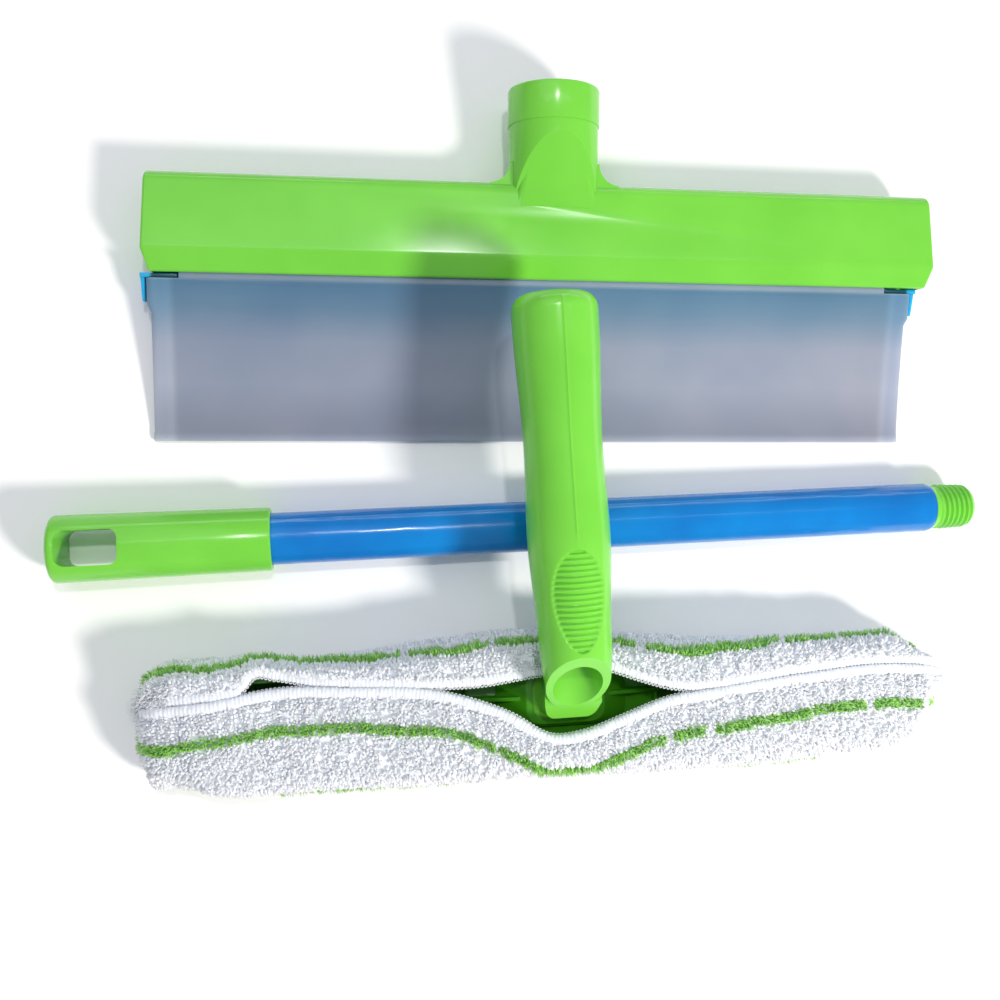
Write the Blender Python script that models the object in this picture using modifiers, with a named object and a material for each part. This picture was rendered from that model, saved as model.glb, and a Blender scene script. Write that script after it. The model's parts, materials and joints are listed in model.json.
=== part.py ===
"""Window cleaning kit laid out on a table: a squeegee head, a short pole and a scrubbing washer.

Sizes are in millimetres and are turned to metres where a mesh is made. Each item has its own frame:
  head:   +Y runs from the bar up the socket to its mouth, +Z is the face that looks up, X runs along the bar
  pole:   +X runs from the grip's closed end to the screw tip
  washer: +X runs along the tray, +Y points to the handle's butt, Z = 0 is the table
"""
import math

import bmesh
import bpy
from mathutils import Vector

MM = 0.001
GAP = 0.3                      # play between pieces that fit or rest on each other

# Squeegee head: hollow bar and pole socket
BAR_LENGTH = 349.0             # at the crease, the widest place
BAR_TOP_DRAFT = 1.3            # each end draws in by this much at the top edge
BAR_MOUTH_DRAFT = 4.5          # and by this much at the mouth
BAR_FACE = 28.2                # top edge to crease
BAR_BAND = 12.2                # crease to mouth
BAR_THICK_TOP = 16.0
BAR_THICK_CREASE = 25.0
BAR_THICK_MOUTH = 20.0
BAR_TOP_ROUND = 5.0
BAR_CORNER = 1.5
BAR_WALL = 2.2
SOCKET_RADIUS = 20.0
SOCKET_STEP = 0.45             # the lower part of the socket is this much smaller in radius
SOCKET_LENGTH = 42.0           # mouth to the bar's top edge
SOCKET_BAND = 15.8             # width of the larger band at the mouth
SOCKET_WALL = 2.7
SOCKET_WELL_RADIUS = 10.4      # room below the bush for the end of a screw tip
SOCKET_WELL_DEPTH = 35.0
SOCKET_EDGE = 1.0
ARCH_PEAK = 21.0               # mouth to the peak of the bell-shaped flat
ARCH_ANGLE = math.radians(26.2)
SOCKET_FILLET = 9.0
WEB_THICK = 12.0

# Screw thread shared by the pole tip, the socket bush and the washer's butt
THREAD_PITCH = 2.45
THREAD_DEPTH = 1.1
THREAD_PLAY = 0.4
TIP_RADIUS = 10.4              # over the crests, at the root of the tip
TIP_TAPER = 0.6                # the tip's end is this much smaller in radius
TIP_LENGTH = 20.0
TIP_PLAIN = 3.0                # smooth stretch next to the film
BUSH_LENGTH = 19.0
BUSH_FLANGE = 3.0
BUSH_WAIST = 2.6

# Blade cartridge: stiff core and hollow silicone blade
CARTRIDGE_OFFSET = -3.3        # it sits off centre in the bar
BLADE_END_PLAY = 1.5           # bar's mouth to the blade, at each end
BLADE_SHOULDER = 1.6           # the head of the blade is this much longer at each end
BLADE_SHOULDER_DROP = 11.0
BLADE_THICK = 15.4
BLADE_DROP = 70.6              # mouth of the bar to the lip
BLADE_TOP_GAP = 2.4            # notch between the mouth and the blade's head
BLADE_WALL = 1.8
BLADE_CURVE = 1.5              # how hollow the faces are
LIP_THICK = 2.9
LIP_WAIST = 2.2
LIP_HEIGHT = 4.5
FLANGE_SHORT = 12.0            # the flange stops this far from the blade's ends
FLANGE_RISE = 6.0
CORE_RISE = 12.0               # depth of the core inside the bar
CORE_DROP = 28.0
CORE_TIP_THICK = 4.4
TAB_THICK = 2.0
TAB_DROP = 11.8
TAB_DEPTH = 9.0

# Pole
POLE_LENGTH = 405.0
GRIP_LENGTH = 88.6
GRIP_WALL = 2.0                # at its mouth, round the film
GRIP_FLARE = 0.7               # the closed end is this much larger in radius
GRIP_EDGE = 2.5
GRIP_BORE = 54.0
SLOT_START = 3.6               # grip end to the hang slot
SLOT_LENGTH = 24.6
SLOT_WIDTH = 14.6
SLOT_CORNER = 4.0
FILM_RADIUS = 11.0
FILM_WALL = 0.5
TUBE_WALL = 0.7
SPIGOT_LENGTH = 24.0

# Washer
TRAY_LENGTH = 320.0
TRAY_WIDTH = 42.0
TRAY_HEIGHT = 18.0
TRAY_WALL = 2.2
TRAY_FLOOR = 2.4
TRAY_CORNER = 19.0
RIB_THICK = 1.8
RIB_HEIGHT = 3.0
RIB_PITCH = 30.0
RIBS_EACH_SIDE = 4
BOSS_HEIGHT = 10.3             # tray floor to the seat under the handle's foot
BOSS_Y = 5.0
BOSS_FOOT = (30.0, 14.0)       # half length and half width at the floor
BOSS_SEAT = (17.0, 11.0)
GUSSET_REACH = 40.0
KEY_HALF = (8.0, 4.6)
KEY_DEPTH = 8.0
SLEEVE_SOLE = 7.0
SLEEVE_SIDE = 9.6
SLEEVE_END = 15.6               # slack cloth beyond the tray's ends
SLEEVE_TOP = 5.4
SLEEVE_ROUND = 26.0
EYE_HALF_LENGTH = 58.0
EYE_HALF_WIDTH = 12.0
EYE_CENTRE = (-7.0, 4.0)
HANDLE_LENGTH = 158.0
HANDLE_Y = 12.9                # centre of the cut end, from the tray's centre line
HANDLE_ABOVE_RIM = 22.2        # tray rim to the grip's axis, at the cut end
HANDLE_RISE = math.radians(4.0)
HANDLE_SKEW = math.radians(1.8)   # the grip is this much askew to the tray
HANDLE_BUTT_RADIUS = 18.0
HANDLE_WAIST_RADIUS = 15.9
HANDLE_SWELL_RADIUS = 16.8
HANDLE_NECK_RADIUS = 14.6
HANDLE_NECK_AT = 20.0          # these three places are measured from the cut end
HANDLE_SWELL_AT = 60.0
HANDLE_WAIST_AT = 98.0
HANDLE_BUTT_RUN = 13.0         # length of the full-width butt
HANDLE_BORE = 10.2
HANDLE_BUTT_ROUND = 7.0
HANDLE_CUT = math.radians(44.0)
BUTT_SOCKET = 24.0
NECK_HALF = (11.0, 7.4)
FOOT_HALF = (14.0, 9.0)
FOOT_THICK = 2.4
THUMB_AT = 34.0                # cut end to the middle of the thumb rest
THUMB_HALF = (10.6, 20.0)
THUMB_DEPTH = 1.1

# How the three items lie
POLE_CLEARANCE = 20.0          # blade lip to the film, measured at the bar's right end
POLE_YAW = math.radians(2.25)
POLE_START = -36.0             # grip end, from the bar's left end
WASHER_CLEARANCE = 48.0        # pole axis to the sleeve, on the handle's line
WASHER_YAW = math.radians(1.8)
WASHER_X = 1.9

ROUND_STEPS = 32
CORNER_STEPS = 4

GREEN = (0.16, 0.62, 0.04, 1.0)
GREEN_DEEP = (0.10, 0.42, 0.02, 1.0)
BLUE_FILM = (0.0, 0.22, 0.62, 1.0)
BLUE_CORE = (0.01, 0.42, 0.68, 1.0)
STEEL = (0.55, 0.56, 0.58, 1.0)
FROSTED = (0.62, 0.66, 0.74, 1.0)
CLOTH = (0.86, 0.89, 0.94, 1.0)


# ---------------------------------------------------------------- scene and material helpers

def clear_scene():
    for obj in list(bpy.data.objects):
        bpy.data.objects.remove(obj, do_unlink=True)


def collection(name):
    made = bpy.data.collections.new(name)
    bpy.context.scene.collection.children.link(made)
    return made


def material(name, colour, roughness, metallic=0.0):
    made = bpy.data.materials.new(name)
    made.use_nodes = True
    shader = made.node_tree.nodes["Principled BSDF"]
    shader.inputs["Base Color"].default_value = colour
    shader.inputs["Roughness"].default_value = roughness
    shader.inputs["Metallic"].default_value = metallic
    made.diffuse_color = colour
    return made


def frame(name, parent=None, at=(0, 0, 0), turn=(0, 0, 0)):
    empty = bpy.data.objects.new(name, None)
    PARTS.objects.link(empty)
    empty.parent = parent
    empty.location = Vector(at) * MM
    empty.rotation_euler = turn
    return empty


def place(mesh, name, parent, turn=(0, 0, 0), at=(0, 0, 0)):
    obj = bpy.data.objects.new(name, mesh)
    PARTS.objects.link(obj)
    obj.parent = parent
    obj.rotation_euler = turn
    obj.location = Vector(at) * MM
    return obj


def finish(obj, finish_material):
    obj.data.materials.clear()
    obj.data.materials.append(finish_material)
    return obj


def combine(obj, tool, operation):
    """Joins, cuts or crops obj with tool, which then becomes a hidden construction body."""
    step = obj.modifiers.new(tool.name, "BOOLEAN")
    step.operation = operation
    step.solver = "EXACT"
    step.object = tool
    PARTS.objects.unlink(tool)
    TOOLS.objects.link(tool)
    tool.hide_render = True
    tool.display_type = "WIRE"


# ---------------------------------------------------------------- shape helpers

def rounded_rectangle(half_a, half_b, radius, steps=CORNER_STEPS):
    """Outline points (a, b), counter-clockwise, with round corners."""
    radius = min(radius, half_a * 0.999, half_b * 0.999)
    points = []
    for corner, (sign_a, sign_b) in enumerate(((1, 1), (-1, 1), (-1, -1), (1, -1))):
        for step in range(steps + 1):
            angle = math.pi / 2 * (corner + step / steps)
            points.append((
                sign_a * (half_a - radius) + radius * math.cos(angle),
                sign_b * (half_b - radius) + radius * math.sin(angle),
            ))
    return points


def loft(name, parent, rings, at=(0, 0, 0), turn=(0, 0, 0)):
    """A closed body through rings of points that all have the same count."""
    bm = bmesh.new()
    rows = [[bm.verts.new(Vector(point) * MM) for point in ring] for ring in rings]
    count = len(rings[0])
    for low, high in zip(rows, rows[1:]):
        for i in range(count):
            j = (i + 1) % count
            bm.faces.new((low[i], low[j], high[j], high[i]))
    bm.faces.new(list(reversed(rows[0])))
    bm.faces.new(rows[-1])
    bmesh.ops.recalc_face_normals(bm, faces=bm.faces)
    mesh = bpy.data.meshes.new(name)
    bm.to_mesh(mesh)
    bm.free()
    return place(mesh, name, parent, turn, at)


def stack_along_y(name, parent, sections, at=(0, 0, 0)):
    """sections are (y, half length in X, half thickness in Z, corner radius)."""
    rings = [
        [(a, y, b) for a, b in rounded_rectangle(half_x, half_z, radius)]
        for y, half_x, half_z, radius in sections
    ]
    return loft(name, parent, rings, at)


def stack_along_z(name, parent, sections, at=(0, 0, 0)):
    """sections are (z, half length in X, half width in Y, corner radius)."""
    rings = [
        [(a, b, z) for a, b in rounded_rectangle(half_x, half_y, radius)]
        for z, half_x, half_y, radius in sections
    ]
    return loft(name, parent, rings, at)


def prism(name, parent, outline, low, high):
    """A flat outline in XY, from z = low to z = high."""
    bm = bmesh.new()
    face = bm.faces.new([bm.verts.new(Vector((x, y, low)) * MM) for x, y in outline])
    grown = bmesh.ops.extrude_face_region(bm, geom=[face])
    lifted = [item for item in grown["geom"] if isinstance(item, bmesh.types.BMVert)]
    bmesh.ops.translate(bm, verts=lifted, vec=(0, 0, (high - low) * MM))
    bmesh.ops.recalc_face_normals(bm, faces=bm.faces)
    mesh = bpy.data.meshes.new(name)
    bm.to_mesh(mesh)
    bm.free()
    return place(mesh, name, parent)


AXIS_TURN = {"X": (0, math.pi / 2, 0), "Y": (-math.pi / 2, 0, 0), "Z": (0, 0, 0)}


def turned(name, parent, profile, axis, steps=ROUND_STEPS, closed=False):
    """A turned body: profile points are (radius, place along the axis), outer side from high to low."""
    mesh = bpy.data.meshes.new(name)
    links = [(i, i + 1) for i in range(len(profile) - 1)]
    if closed:
        links.append((len(profile) - 1, 0))
    mesh.from_pydata([(r * MM, 0, along * MM) for r, along in profile], links, [])
    obj = place(mesh, name, parent, AXIS_TURN[axis])
    screw = obj.modifiers.new("turn", "SCREW")
    screw.steps = steps
    screw.render_steps = steps
    screw.use_merge_vertices = True
    screw.merge_threshold = 0.00001
    screw.use_smooth_shade = True
    return obj


def thread_height(turns):
    """Height of a round-topped thread, 0 in the root and 1 on the crest."""
    return 0.5 - 0.5 * math.cos(2 * math.pi * turns)


def threaded_body(name, parent, core, threads, axis, steps=24, rows_per_pitch=5):
    """core(along) is the root radius, threads is (start, end, depth), both along the axis."""
    start, end, depth = threads
    first, last = core["from"], core["to"]
    stations = [first]
    station = start
    while station < end:
        if station > first:
            stations.append(station)
        station += THREAD_PITCH / rows_per_pitch
    stations += core["extra"] + [end, last]
    stations = sorted(set(round(value, 4) for value in stations))
    rings = []
    for along in stations:
        fade = min(1.0, max(0.0, (along - start) / THREAD_PITCH), max(0.0, (end - along) / THREAD_PITCH))
        ring = []
        for step in range(steps):
            angle = 2 * math.pi * step / steps
            height = thread_height(along / THREAD_PITCH - step / steps) * depth * fade
            radius = core["radius"](along) + height
            ring.append((radius * math.cos(angle), radius * math.sin(angle), along))
        rings.append(ring)
    return loft(name, parent, rings, turn=AXIS_TURN[axis])


def smooth_round(*objects):
    """Smooth shading with the edges over 35 degrees kept sharp."""
    for obj in objects:
        obj.data.shade_smooth()
        obj.data.set_sharp_from_angle(angle=math.radians(35))


# ---------------------------------------------------------------- squeegee head

BAR_TOP_Y = -SOCKET_LENGTH
BAR_CREASE_Y = BAR_TOP_Y - BAR_FACE
BAR_MOUTH_Y = BAR_CREASE_Y - BAR_BAND


def bar_sections(inset):
    """Sections of the bar, drawn in by inset all round and at the top edge."""
    top = BAR_TOP_Y - inset
    half_top = BAR_LENGTH / 2 - BAR_TOP_DRAFT
    half_mouth = BAR_LENGTH / 2 - BAR_MOUTH_DRAFT
    rounding = max(BAR_TOP_ROUND - inset, 0.5)
    slope = (BAR_THICK_CREASE - BAR_THICK_TOP) / 2 / BAR_FACE
    corner = max(BAR_CORNER - inset / 2, 0.3)
    sections = []
    steps = 4
    for step in range(steps + 1):
        angle = math.pi / 2 * step / steps
        drop = rounding * (1 - math.cos(angle))
        half_z = BAR_THICK_TOP / 2 - inset + slope * (inset + drop) - rounding * (1 - math.sin(angle))
        end_pull = 0.25 * rounding * (1 - math.sin(angle))
        sections.append((top - drop, half_top - inset - end_pull, half_z, corner))
    sections.append((BAR_CREASE_Y, BAR_LENGTH / 2 - inset, BAR_THICK_CREASE / 2 - inset, corner))
    sections.append((BAR_MOUTH_Y, half_mouth - inset, BAR_THICK_MOUTH / 2 - inset, corner))
    return sections


def socket_fillet_outline():
    """Web in the XY plane whose two sides are hollow arcs from the socket to the bar's top edge."""
    side = SOCKET_RADIUS - SOCKET_STEP
    low = BAR_TOP_Y - BAR_TOP_ROUND
    steps = 6
    right = []
    for step in range(steps + 1):
        angle = math.pi / 2 * step / steps
        right.append((
            side + SOCKET_FILLET * (1 - math.cos(angle)) - 0.2,
            BAR_TOP_Y + SOCKET_FILLET * (1 - math.sin(angle)) - 0.2,
        ))
    outline = [(right[-1][0], low)] + list(reversed(right))
    return outline + [(-x, y) for x, y in reversed(outline)]


def head_shell(parent):
    shell = stack_along_y("head_shell", parent, bar_sections(0.0))
    low_radius = SOCKET_RADIUS - SOCKET_STEP
    run_out = -ARCH_PEAK - (low_radius - 1.0) / math.tan(ARCH_ANGLE)
    socket = turned("socket_body", parent, [
        (0, 0),
        (SOCKET_RADIUS - SOCKET_EDGE, 0),
        (SOCKET_RADIUS - SOCKET_EDGE * 0.3, -SOCKET_EDGE * 0.3),
        (SOCKET_RADIUS, -SOCKET_EDGE),
        (SOCKET_RADIUS, -SOCKET_BAND),
        (low_radius, -SOCKET_BAND - SOCKET_STEP),
        (low_radius, run_out),
        (0, run_out),
    ], "Y", steps=40)
    rise = math.tan(ARCH_ANGLE)
    arch = stack_along_y("arch_planes", parent, [
        (y, 2 * SOCKET_RADIUS, low_radius + rise * (y + ARCH_PEAK), 0.1)
        for y in (2.0, run_out)
    ])
    combine(socket, arch, "INTERSECT")
    web = prism("socket_web", parent, socket_fillet_outline(), -WEB_THICK / 2, WEB_THICK / 2)
    combine(shell, socket, "UNION")
    combine(shell, web, "UNION")
    inside = bar_sections(BAR_WALL)
    past_mouth = (BAR_MOUTH_Y - 5.0,) + inside[-1][1:]
    combine(shell, stack_along_y("bar_hollow", parent, inside + [past_mouth]), "DIFFERENCE")
    bore_radius = SOCKET_RADIUS - SOCKET_WALL
    bore = turned("socket_bore", parent, [
        (0, 5),
        (bore_radius, 5),
        (bore_radius, -ARCH_PEAK),
        (SOCKET_WELL_RADIUS, -ARCH_PEAK),
        (SOCKET_WELL_RADIUS, -SOCKET_WELL_DEPTH),
        (0, -SOCKET_WELL_DEPTH),
    ], "Y", steps=40)
    combine(shell, bore, "DIFFERENCE")
    return finish(shell, GREEN_PLASTIC)


def female_thread(name, parent, low, high, axis):
    """Cutter for a thread that the pole tip screws into, running out past both ends."""
    root = TIP_RADIUS - THREAD_DEPTH + THREAD_PLAY
    core = {"from": low, "to": high, "extra": [], "radius": lambda along: root}
    threads = (low + 0.5, high - 0.5, THREAD_DEPTH)
    return threaded_body(name, parent, core, threads, axis, steps=20, rows_per_pitch=4)


def socket_bush(parent):
    outer = SOCKET_RADIUS - SOCKET_WALL - GAP
    seat = -ARCH_PEAK + GAP
    top = seat + BUSH_LENGTH
    waist = outer - BUSH_WAIST
    bush = turned("socket_bush", parent, [
        (0, top),
        (outer, top),
        (outer, top - BUSH_FLANGE),
        (waist, top - BUSH_FLANGE - BUSH_WAIST / 2),
        (waist, seat + BUSH_FLANGE + BUSH_WAIST / 2),
        (outer, seat + BUSH_FLANGE),
        (outer, seat),
        (0, seat),
    ], "Y", steps=40)
    combine(bush, female_thread("bush_thread", parent, seat - 2, top + 2, "Y"), "DIFFERENCE")
    return finish(bush, GREEN_PLASTIC_DEEP)


# ---------------------------------------------------------------- blade cartridge, y = 0 at the bar's mouth

BLADE_LENGTH = BAR_LENGTH - 2 * (BAR_MOUTH_DRAFT + BLADE_END_PLAY)
FLANGE_HALF_Z = BAR_THICK_MOUTH / 2 - BAR_WALL - GAP
CORE_HALF_Z = FLANGE_HALF_Z - BLADE_WALL - GAP


def blade_half_thickness(drop):
    """Half thickness of the blade at a drop below its head, on hollow faces down to the lip's waist."""
    reach = BLADE_DROP - LIP_HEIGHT - BLADE_TOP_GAP
    share = min(1.0, max(0.0, drop / reach))
    return LIP_WAIST / 2 + (BLADE_THICK - LIP_WAIST) / 2 * (1 - share) ** BLADE_CURVE


def silicone_blade(parent):
    head_y = -BLADE_TOP_GAP
    half = BLADE_LENGTH / 2
    neck = BLADE_SHOULDER_DROP + 3.0
    waist = BLADE_DROP - BLADE_TOP_GAP - LIP_HEIGHT
    faces = [neck + (waist - neck) * step / 5 for step in range(6)]
    drops = [0.0, BLADE_SHOULDER_DROP] + faces
    sections = []
    for drop in drops:
        half_z = blade_half_thickness(drop)
        longer = BLADE_SHOULDER if drop <= BLADE_SHOULDER_DROP else 0.0
        sections.append((head_y - drop, half + longer, half_z, half_z))
    sections.append((-BLADE_DROP + LIP_HEIGHT - 1.2, half + 0.3, LIP_THICK / 2, LIP_THICK / 2))
    sections.append((-BLADE_DROP, half + 0.3, LIP_THICK / 2, LIP_THICK / 2))
    blade = stack_along_y("silicone_blade", parent, sections)
    flange_half = half - FLANGE_SHORT
    flange = stack_along_y("blade_flange", parent, [
        (FLANGE_RISE, flange_half, FLANGE_HALF_Z, 0.5),
        (head_y - 2.0, flange_half, FLANGE_HALF_Z, 0.5),
    ])
    combine(blade, flange, "UNION")
    slot = stack_along_y("flange_slot", parent, [
        (FLANGE_RISE + 3.0, flange_half + 4.0, FLANGE_HALF_Z - BLADE_WALL, 0.2),
        (head_y - 3.0, flange_half + 4.0, FLANGE_HALF_Z - BLADE_WALL, 0.2),
    ])
    combine(blade, slot, "DIFFERENCE")
    pocket = []
    for drop in [-0.3, BLADE_SHOULDER_DROP] + faces[1:-1]:
        half_z = max(blade_half_thickness(max(drop, 0.0)) - BLADE_WALL, 0.35)
        pocket.append((head_y - drop, half - BLADE_WALL, half_z, half_z))
    combine(blade, stack_along_y("blade_pocket", parent, pocket), "DIFFERENCE")
    return finish(blade, FROSTED_SILICONE)


def blade_core(parent):
    inner_half = BLADE_LENGTH / 2 - FLANGE_SHORT + 2.0
    core = stack_along_y("blade_core", parent, [
        (CORE_RISE, inner_half, CORE_HALF_Z, 1.0),
        (-BLADE_TOP_GAP, inner_half, CORE_HALF_Z, 1.0),
        (-CORE_DROP, inner_half, CORE_TIP_THICK / 2, 1.0),
    ])
    tab_outer = BLADE_LENGTH / 2 + BLADE_SHOULDER + GAP + TAB_THICK
    ledge_inner = BLADE_LENGTH / 2 - FLANGE_SHORT + GAP
    for side, label in ((-1, "left"), (1, "right")):
        middle = side * (tab_outer + ledge_inner) / 2
        ledge = stack_along_y("core_ledge_" + label, parent, [
            (-GAP, (tab_outer - ledge_inner) / 2, BLADE_THICK / 2 - 1.2, 0.8),
            (-BLADE_TOP_GAP + GAP, (tab_outer - ledge_inner) / 2, BLADE_THICK / 2 - 1.2, 0.8),
        ], at=(middle, 0, 0))
        combine(core, ledge, "UNION")
        tab = stack_along_y("core_tab_" + label, parent, [
            (-GAP - 0.4, TAB_THICK / 2, TAB_DEPTH / 2 + 0.5, 0.4),
            (-TAB_DROP, TAB_THICK / 2 * 0.7, TAB_DEPTH / 3, 0.4),
        ], at=(side * (tab_outer - TAB_THICK / 2 - 0.05), 0, 0))
        combine(core, tab, "UNION")
    return finish(core, BLUE_PLASTIC)


# ---------------------------------------------------------------- pole

FILM_END = POLE_LENGTH - TIP_LENGTH
GRIP_RADIUS_MOUTH = FILM_RADIUS + GAP + GRIP_WALL
GRIP_RADIUS_END = GRIP_RADIUS_MOUTH + GRIP_FLARE


def pole_grip(parent):
    bore_start = GRIP_LENGTH - GRIP_BORE
    bore_radius = FILM_RADIUS + GAP
    grip = turned("pole_grip", parent, [
        (0, GRIP_LENGTH),
        (GRIP_RADIUS_MOUTH - 0.6, GRIP_LENGTH),
        (GRIP_RADIUS_MOUTH, GRIP_LENGTH - 0.6),
        (GRIP_RADIUS_END, GRIP_EDGE),
        (GRIP_RADIUS_END - GRIP_EDGE * 0.3, GRIP_EDGE * 0.3),
        (GRIP_RADIUS_END - GRIP_EDGE, 0),
        (0, 0),
    ], "X")
    slot_middle = SLOT_START + SLOT_LENGTH / 2
    outline = [
        (slot_middle + a, b)
        for a, b in rounded_rectangle(SLOT_LENGTH / 2, SLOT_WIDTH / 2, SLOT_CORNER)
    ]
    reach = GRIP_RADIUS_END + 5
    combine(grip, prism("hang_slot", parent, outline, -reach, reach), "DIFFERENCE")
    bore = turned("grip_bore", parent, [
        (0, GRIP_LENGTH + 5), (bore_radius, GRIP_LENGTH + 5), (bore_radius, bore_start), (0, bore_start),
    ], "X")
    combine(grip, bore, "DIFFERENCE")
    return finish(grip, GREEN_PLASTIC)


def sleeve_profile(outer, inner, start, end):
    """Profile of a plain tube wall."""
    return [(outer, end), (outer, start), (inner, start), (inner, end)]


def pole_film(parent):
    start = GRIP_LENGTH - GRIP_BORE + GAP
    profile = sleeve_profile(FILM_RADIUS, FILM_RADIUS - FILM_WALL, start, FILM_END)
    return finish(turned("pole_film", parent, profile, "X", closed=True), BLUE_SLEEVE)


def pole_tube(parent):
    outer = FILM_RADIUS - FILM_WALL - GAP
    start = GRIP_LENGTH - GRIP_BORE + GAP
    profile = sleeve_profile(outer, outer - TUBE_WALL, start, FILM_END - 0.5)
    return finish(turned("pole_tube", parent, profile, "X", closed=True), STEEL_TUBE)


def thread_plug(parent):
    shoulder = FILM_END + GAP
    spigot = FILM_RADIUS - FILM_WALL - GAP - TUBE_WALL - GAP
    thread_start = shoulder + TIP_PLAIN - 1.0
    slope = TIP_TAPER / (POLE_LENGTH - shoulder)

    def radius(along):
        if along < shoulder:
            return spigot
        root = TIP_RADIUS - THREAD_DEPTH - slope * (along - shoulder)
        past = along - (POLE_LENGTH - 1.5)
        plain = max(0.0, 1.0 - (along - shoulder) / TIP_PLAIN) * THREAD_DEPTH * 0.8
        return root + plain - (0.8 * past if past > 0 else 0.0)

    core = {
        "from": shoulder - SPIGOT_LENGTH,
        "to": POLE_LENGTH,
        "extra": [shoulder - 0.01, shoulder, shoulder + 0.8, POLE_LENGTH - 1.5, POLE_LENGTH - 0.7],
        "radius": radius,
    }
    plug = threaded_body("thread_plug", parent, core, (thread_start, POLE_LENGTH - 0.8, THREAD_DEPTH), "X")
    return finish(plug, GREEN_PLASTIC)


# ---------------------------------------------------------------- washer

TRAY_Z = SLEEVE_SOLE + GAP
TRAY_RIM_Z = TRAY_Z + TRAY_HEIGHT
FLOOR_Z = TRAY_Z + TRAY_FLOOR
BOSS_TOP = FLOOR_Z + BOSS_HEIGHT
HANDLE_Z = TRAY_RIM_Z + HANDLE_ABOVE_RIM
SLEEVE_HEIGHT = TRAY_RIM_Z + GAP + SLEEVE_TOP


def rib_boxes(name, parent, boxes):
    """Separate ribs in one construction body; boxes are (low corner, high corner)."""
    bm = bmesh.new()
    for low, high in boxes:
        made = bmesh.ops.create_cube(bm, size=1.0)["verts"]
        size = [b - a for a, b in zip(low, high)]
        middle = [(a + b) / 2 for a, b in zip(low, high)]
        bmesh.ops.scale(bm, verts=made, vec=Vector(size) * MM)
        bmesh.ops.translate(bm, verts=made, vec=Vector(middle) * MM)
    mesh = bpy.data.meshes.new(name)
    bm.to_mesh(mesh)
    bm.free()
    return place(mesh, name, parent)


def washer_tray(parent):
    half = (TRAY_LENGTH / 2, TRAY_WIDTH / 2)
    tray = stack_along_z("washer_tray", parent, [
        (TRAY_Z, half[0] - 1.0, half[1] - 1.0, TRAY_CORNER - 1.0),
        (TRAY_Z + 1.0, half[0], half[1], TRAY_CORNER),
        (TRAY_RIM_Z, half[0], half[1], TRAY_CORNER),
    ])
    inner = (half[0] - TRAY_WALL, half[1] - TRAY_WALL, TRAY_CORNER - TRAY_WALL)
    hollow = stack_along_z("tray_hollow", parent, [(FLOOR_Z, *inner), (TRAY_RIM_Z + 5, *inner)])
    combine(tray, hollow, "DIFFERENCE")
    boss = stack_along_z("tray_boss", parent, [
        (FLOOR_Z - 1.0, *BOSS_FOOT, 8.0),
        (BOSS_TOP, *BOSS_SEAT, 6.0),
    ], at=(0, BOSS_Y, 0))
    combine(tray, boss, "UNION")
    sink = 0.8
    cross = []
    for side in (-1, 1):
        for index in range(RIBS_EACH_SIDE):
            x = side * (BOSS_FOOT[0] + 12.0 + RIB_PITCH * index)
            low = (x - RIB_THICK / 2, -inner[1] - sink, FLOOR_Z - sink)
            high = (x + RIB_THICK / 2, inner[1] + sink, FLOOR_Z + RIB_HEIGHT)
            cross.append((low, high))
    combine(tray, rib_boxes("tray_cross_ribs", parent, cross), "UNION")
    for side, label in ((-1, "left"), (1, "right")):
        ends = (
            (side * (BOSS_SEAT[0] - 3.0), BOSS_TOP - 1.0),
            (side * (BOSS_SEAT[0] + GUSSET_REACH), FLOOR_Z + 1.0),
        )
        gusset = loft("tray_gusset_" + label, parent, [
            [
                (x, BOSS_Y - RIB_THICK / 2, FLOOR_Z - 1.0),
                (x, BOSS_Y + RIB_THICK / 2, FLOOR_Z - 1.0),
                (x, BOSS_Y + RIB_THICK / 2, top),
                (x, BOSS_Y - RIB_THICK / 2, top),
            ]
            for x, top in ends
        ])
        combine(tray, gusset, "UNION")
    key = (KEY_HALF[0] + GAP, KEY_HALF[1] + GAP)
    key_way = stack_along_z("key_way", parent, [
        (BOSS_TOP - KEY_DEPTH - GAP, *key, 1.5),
        (BOSS_TOP + 5, *key, 1.5),
    ], at=(0, BOSS_Y, 0))
    combine(tray, key_way, "DIFFERENCE")
    return finish(tray, GREEN_PLASTIC_DEEP)


def eye_outline():
    """Lens with its two points in line with X, between two shallow arcs."""
    steps = 10
    far = []
    for step in range(steps + 1):
        share = -1 + 2 * step / steps
        far.append((EYE_HALF_LENGTH * share, EYE_HALF_WIDTH * (1 - share ** 2)))
    near = [(x, -y) for x, y in far[1:-1]]
    return [(EYE_CENTRE[0] + x, EYE_CENTRE[1] + y) for x, y in far + list(reversed(near))]


def washer_sleeve(parent):
    outer_x = TRAY_LENGTH / 2 + SLEEVE_END + GAP
    outer_y = TRAY_WIDTH / 2 + SLEEVE_SIDE + GAP
    top = SLEEVE_HEIGHT
    sections = []
    for height, pull in ((0.0, 4.5), (0.13, 1.2), (0.4, 0.0), (0.72, 0.8), (0.9, 3.6), (1.0, 8.0)):
        sections.append((top * height, outer_x - pull, outer_y - pull, SLEEVE_ROUND - pull / 2))
    sleeve = stack_along_z("washer_sleeve", parent, sections)
    room = (TRAY_LENGTH / 2 + GAP, TRAY_WIDTH / 2 + GAP, TRAY_CORNER + GAP)
    cavity = stack_along_z("sleeve_cavity", parent, [
        (SLEEVE_SOLE, *room),
        (TRAY_RIM_Z + GAP, *room),
    ])
    combine(sleeve, cavity, "DIFFERENCE")
    eye = prism("sleeve_eye", parent, eye_outline(), TRAY_RIM_Z - 3, SLEEVE_HEIGHT + 5)
    combine(sleeve, eye, "DIFFERENCE")
    return finish(sleeve, MICROFIBRE)


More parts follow.
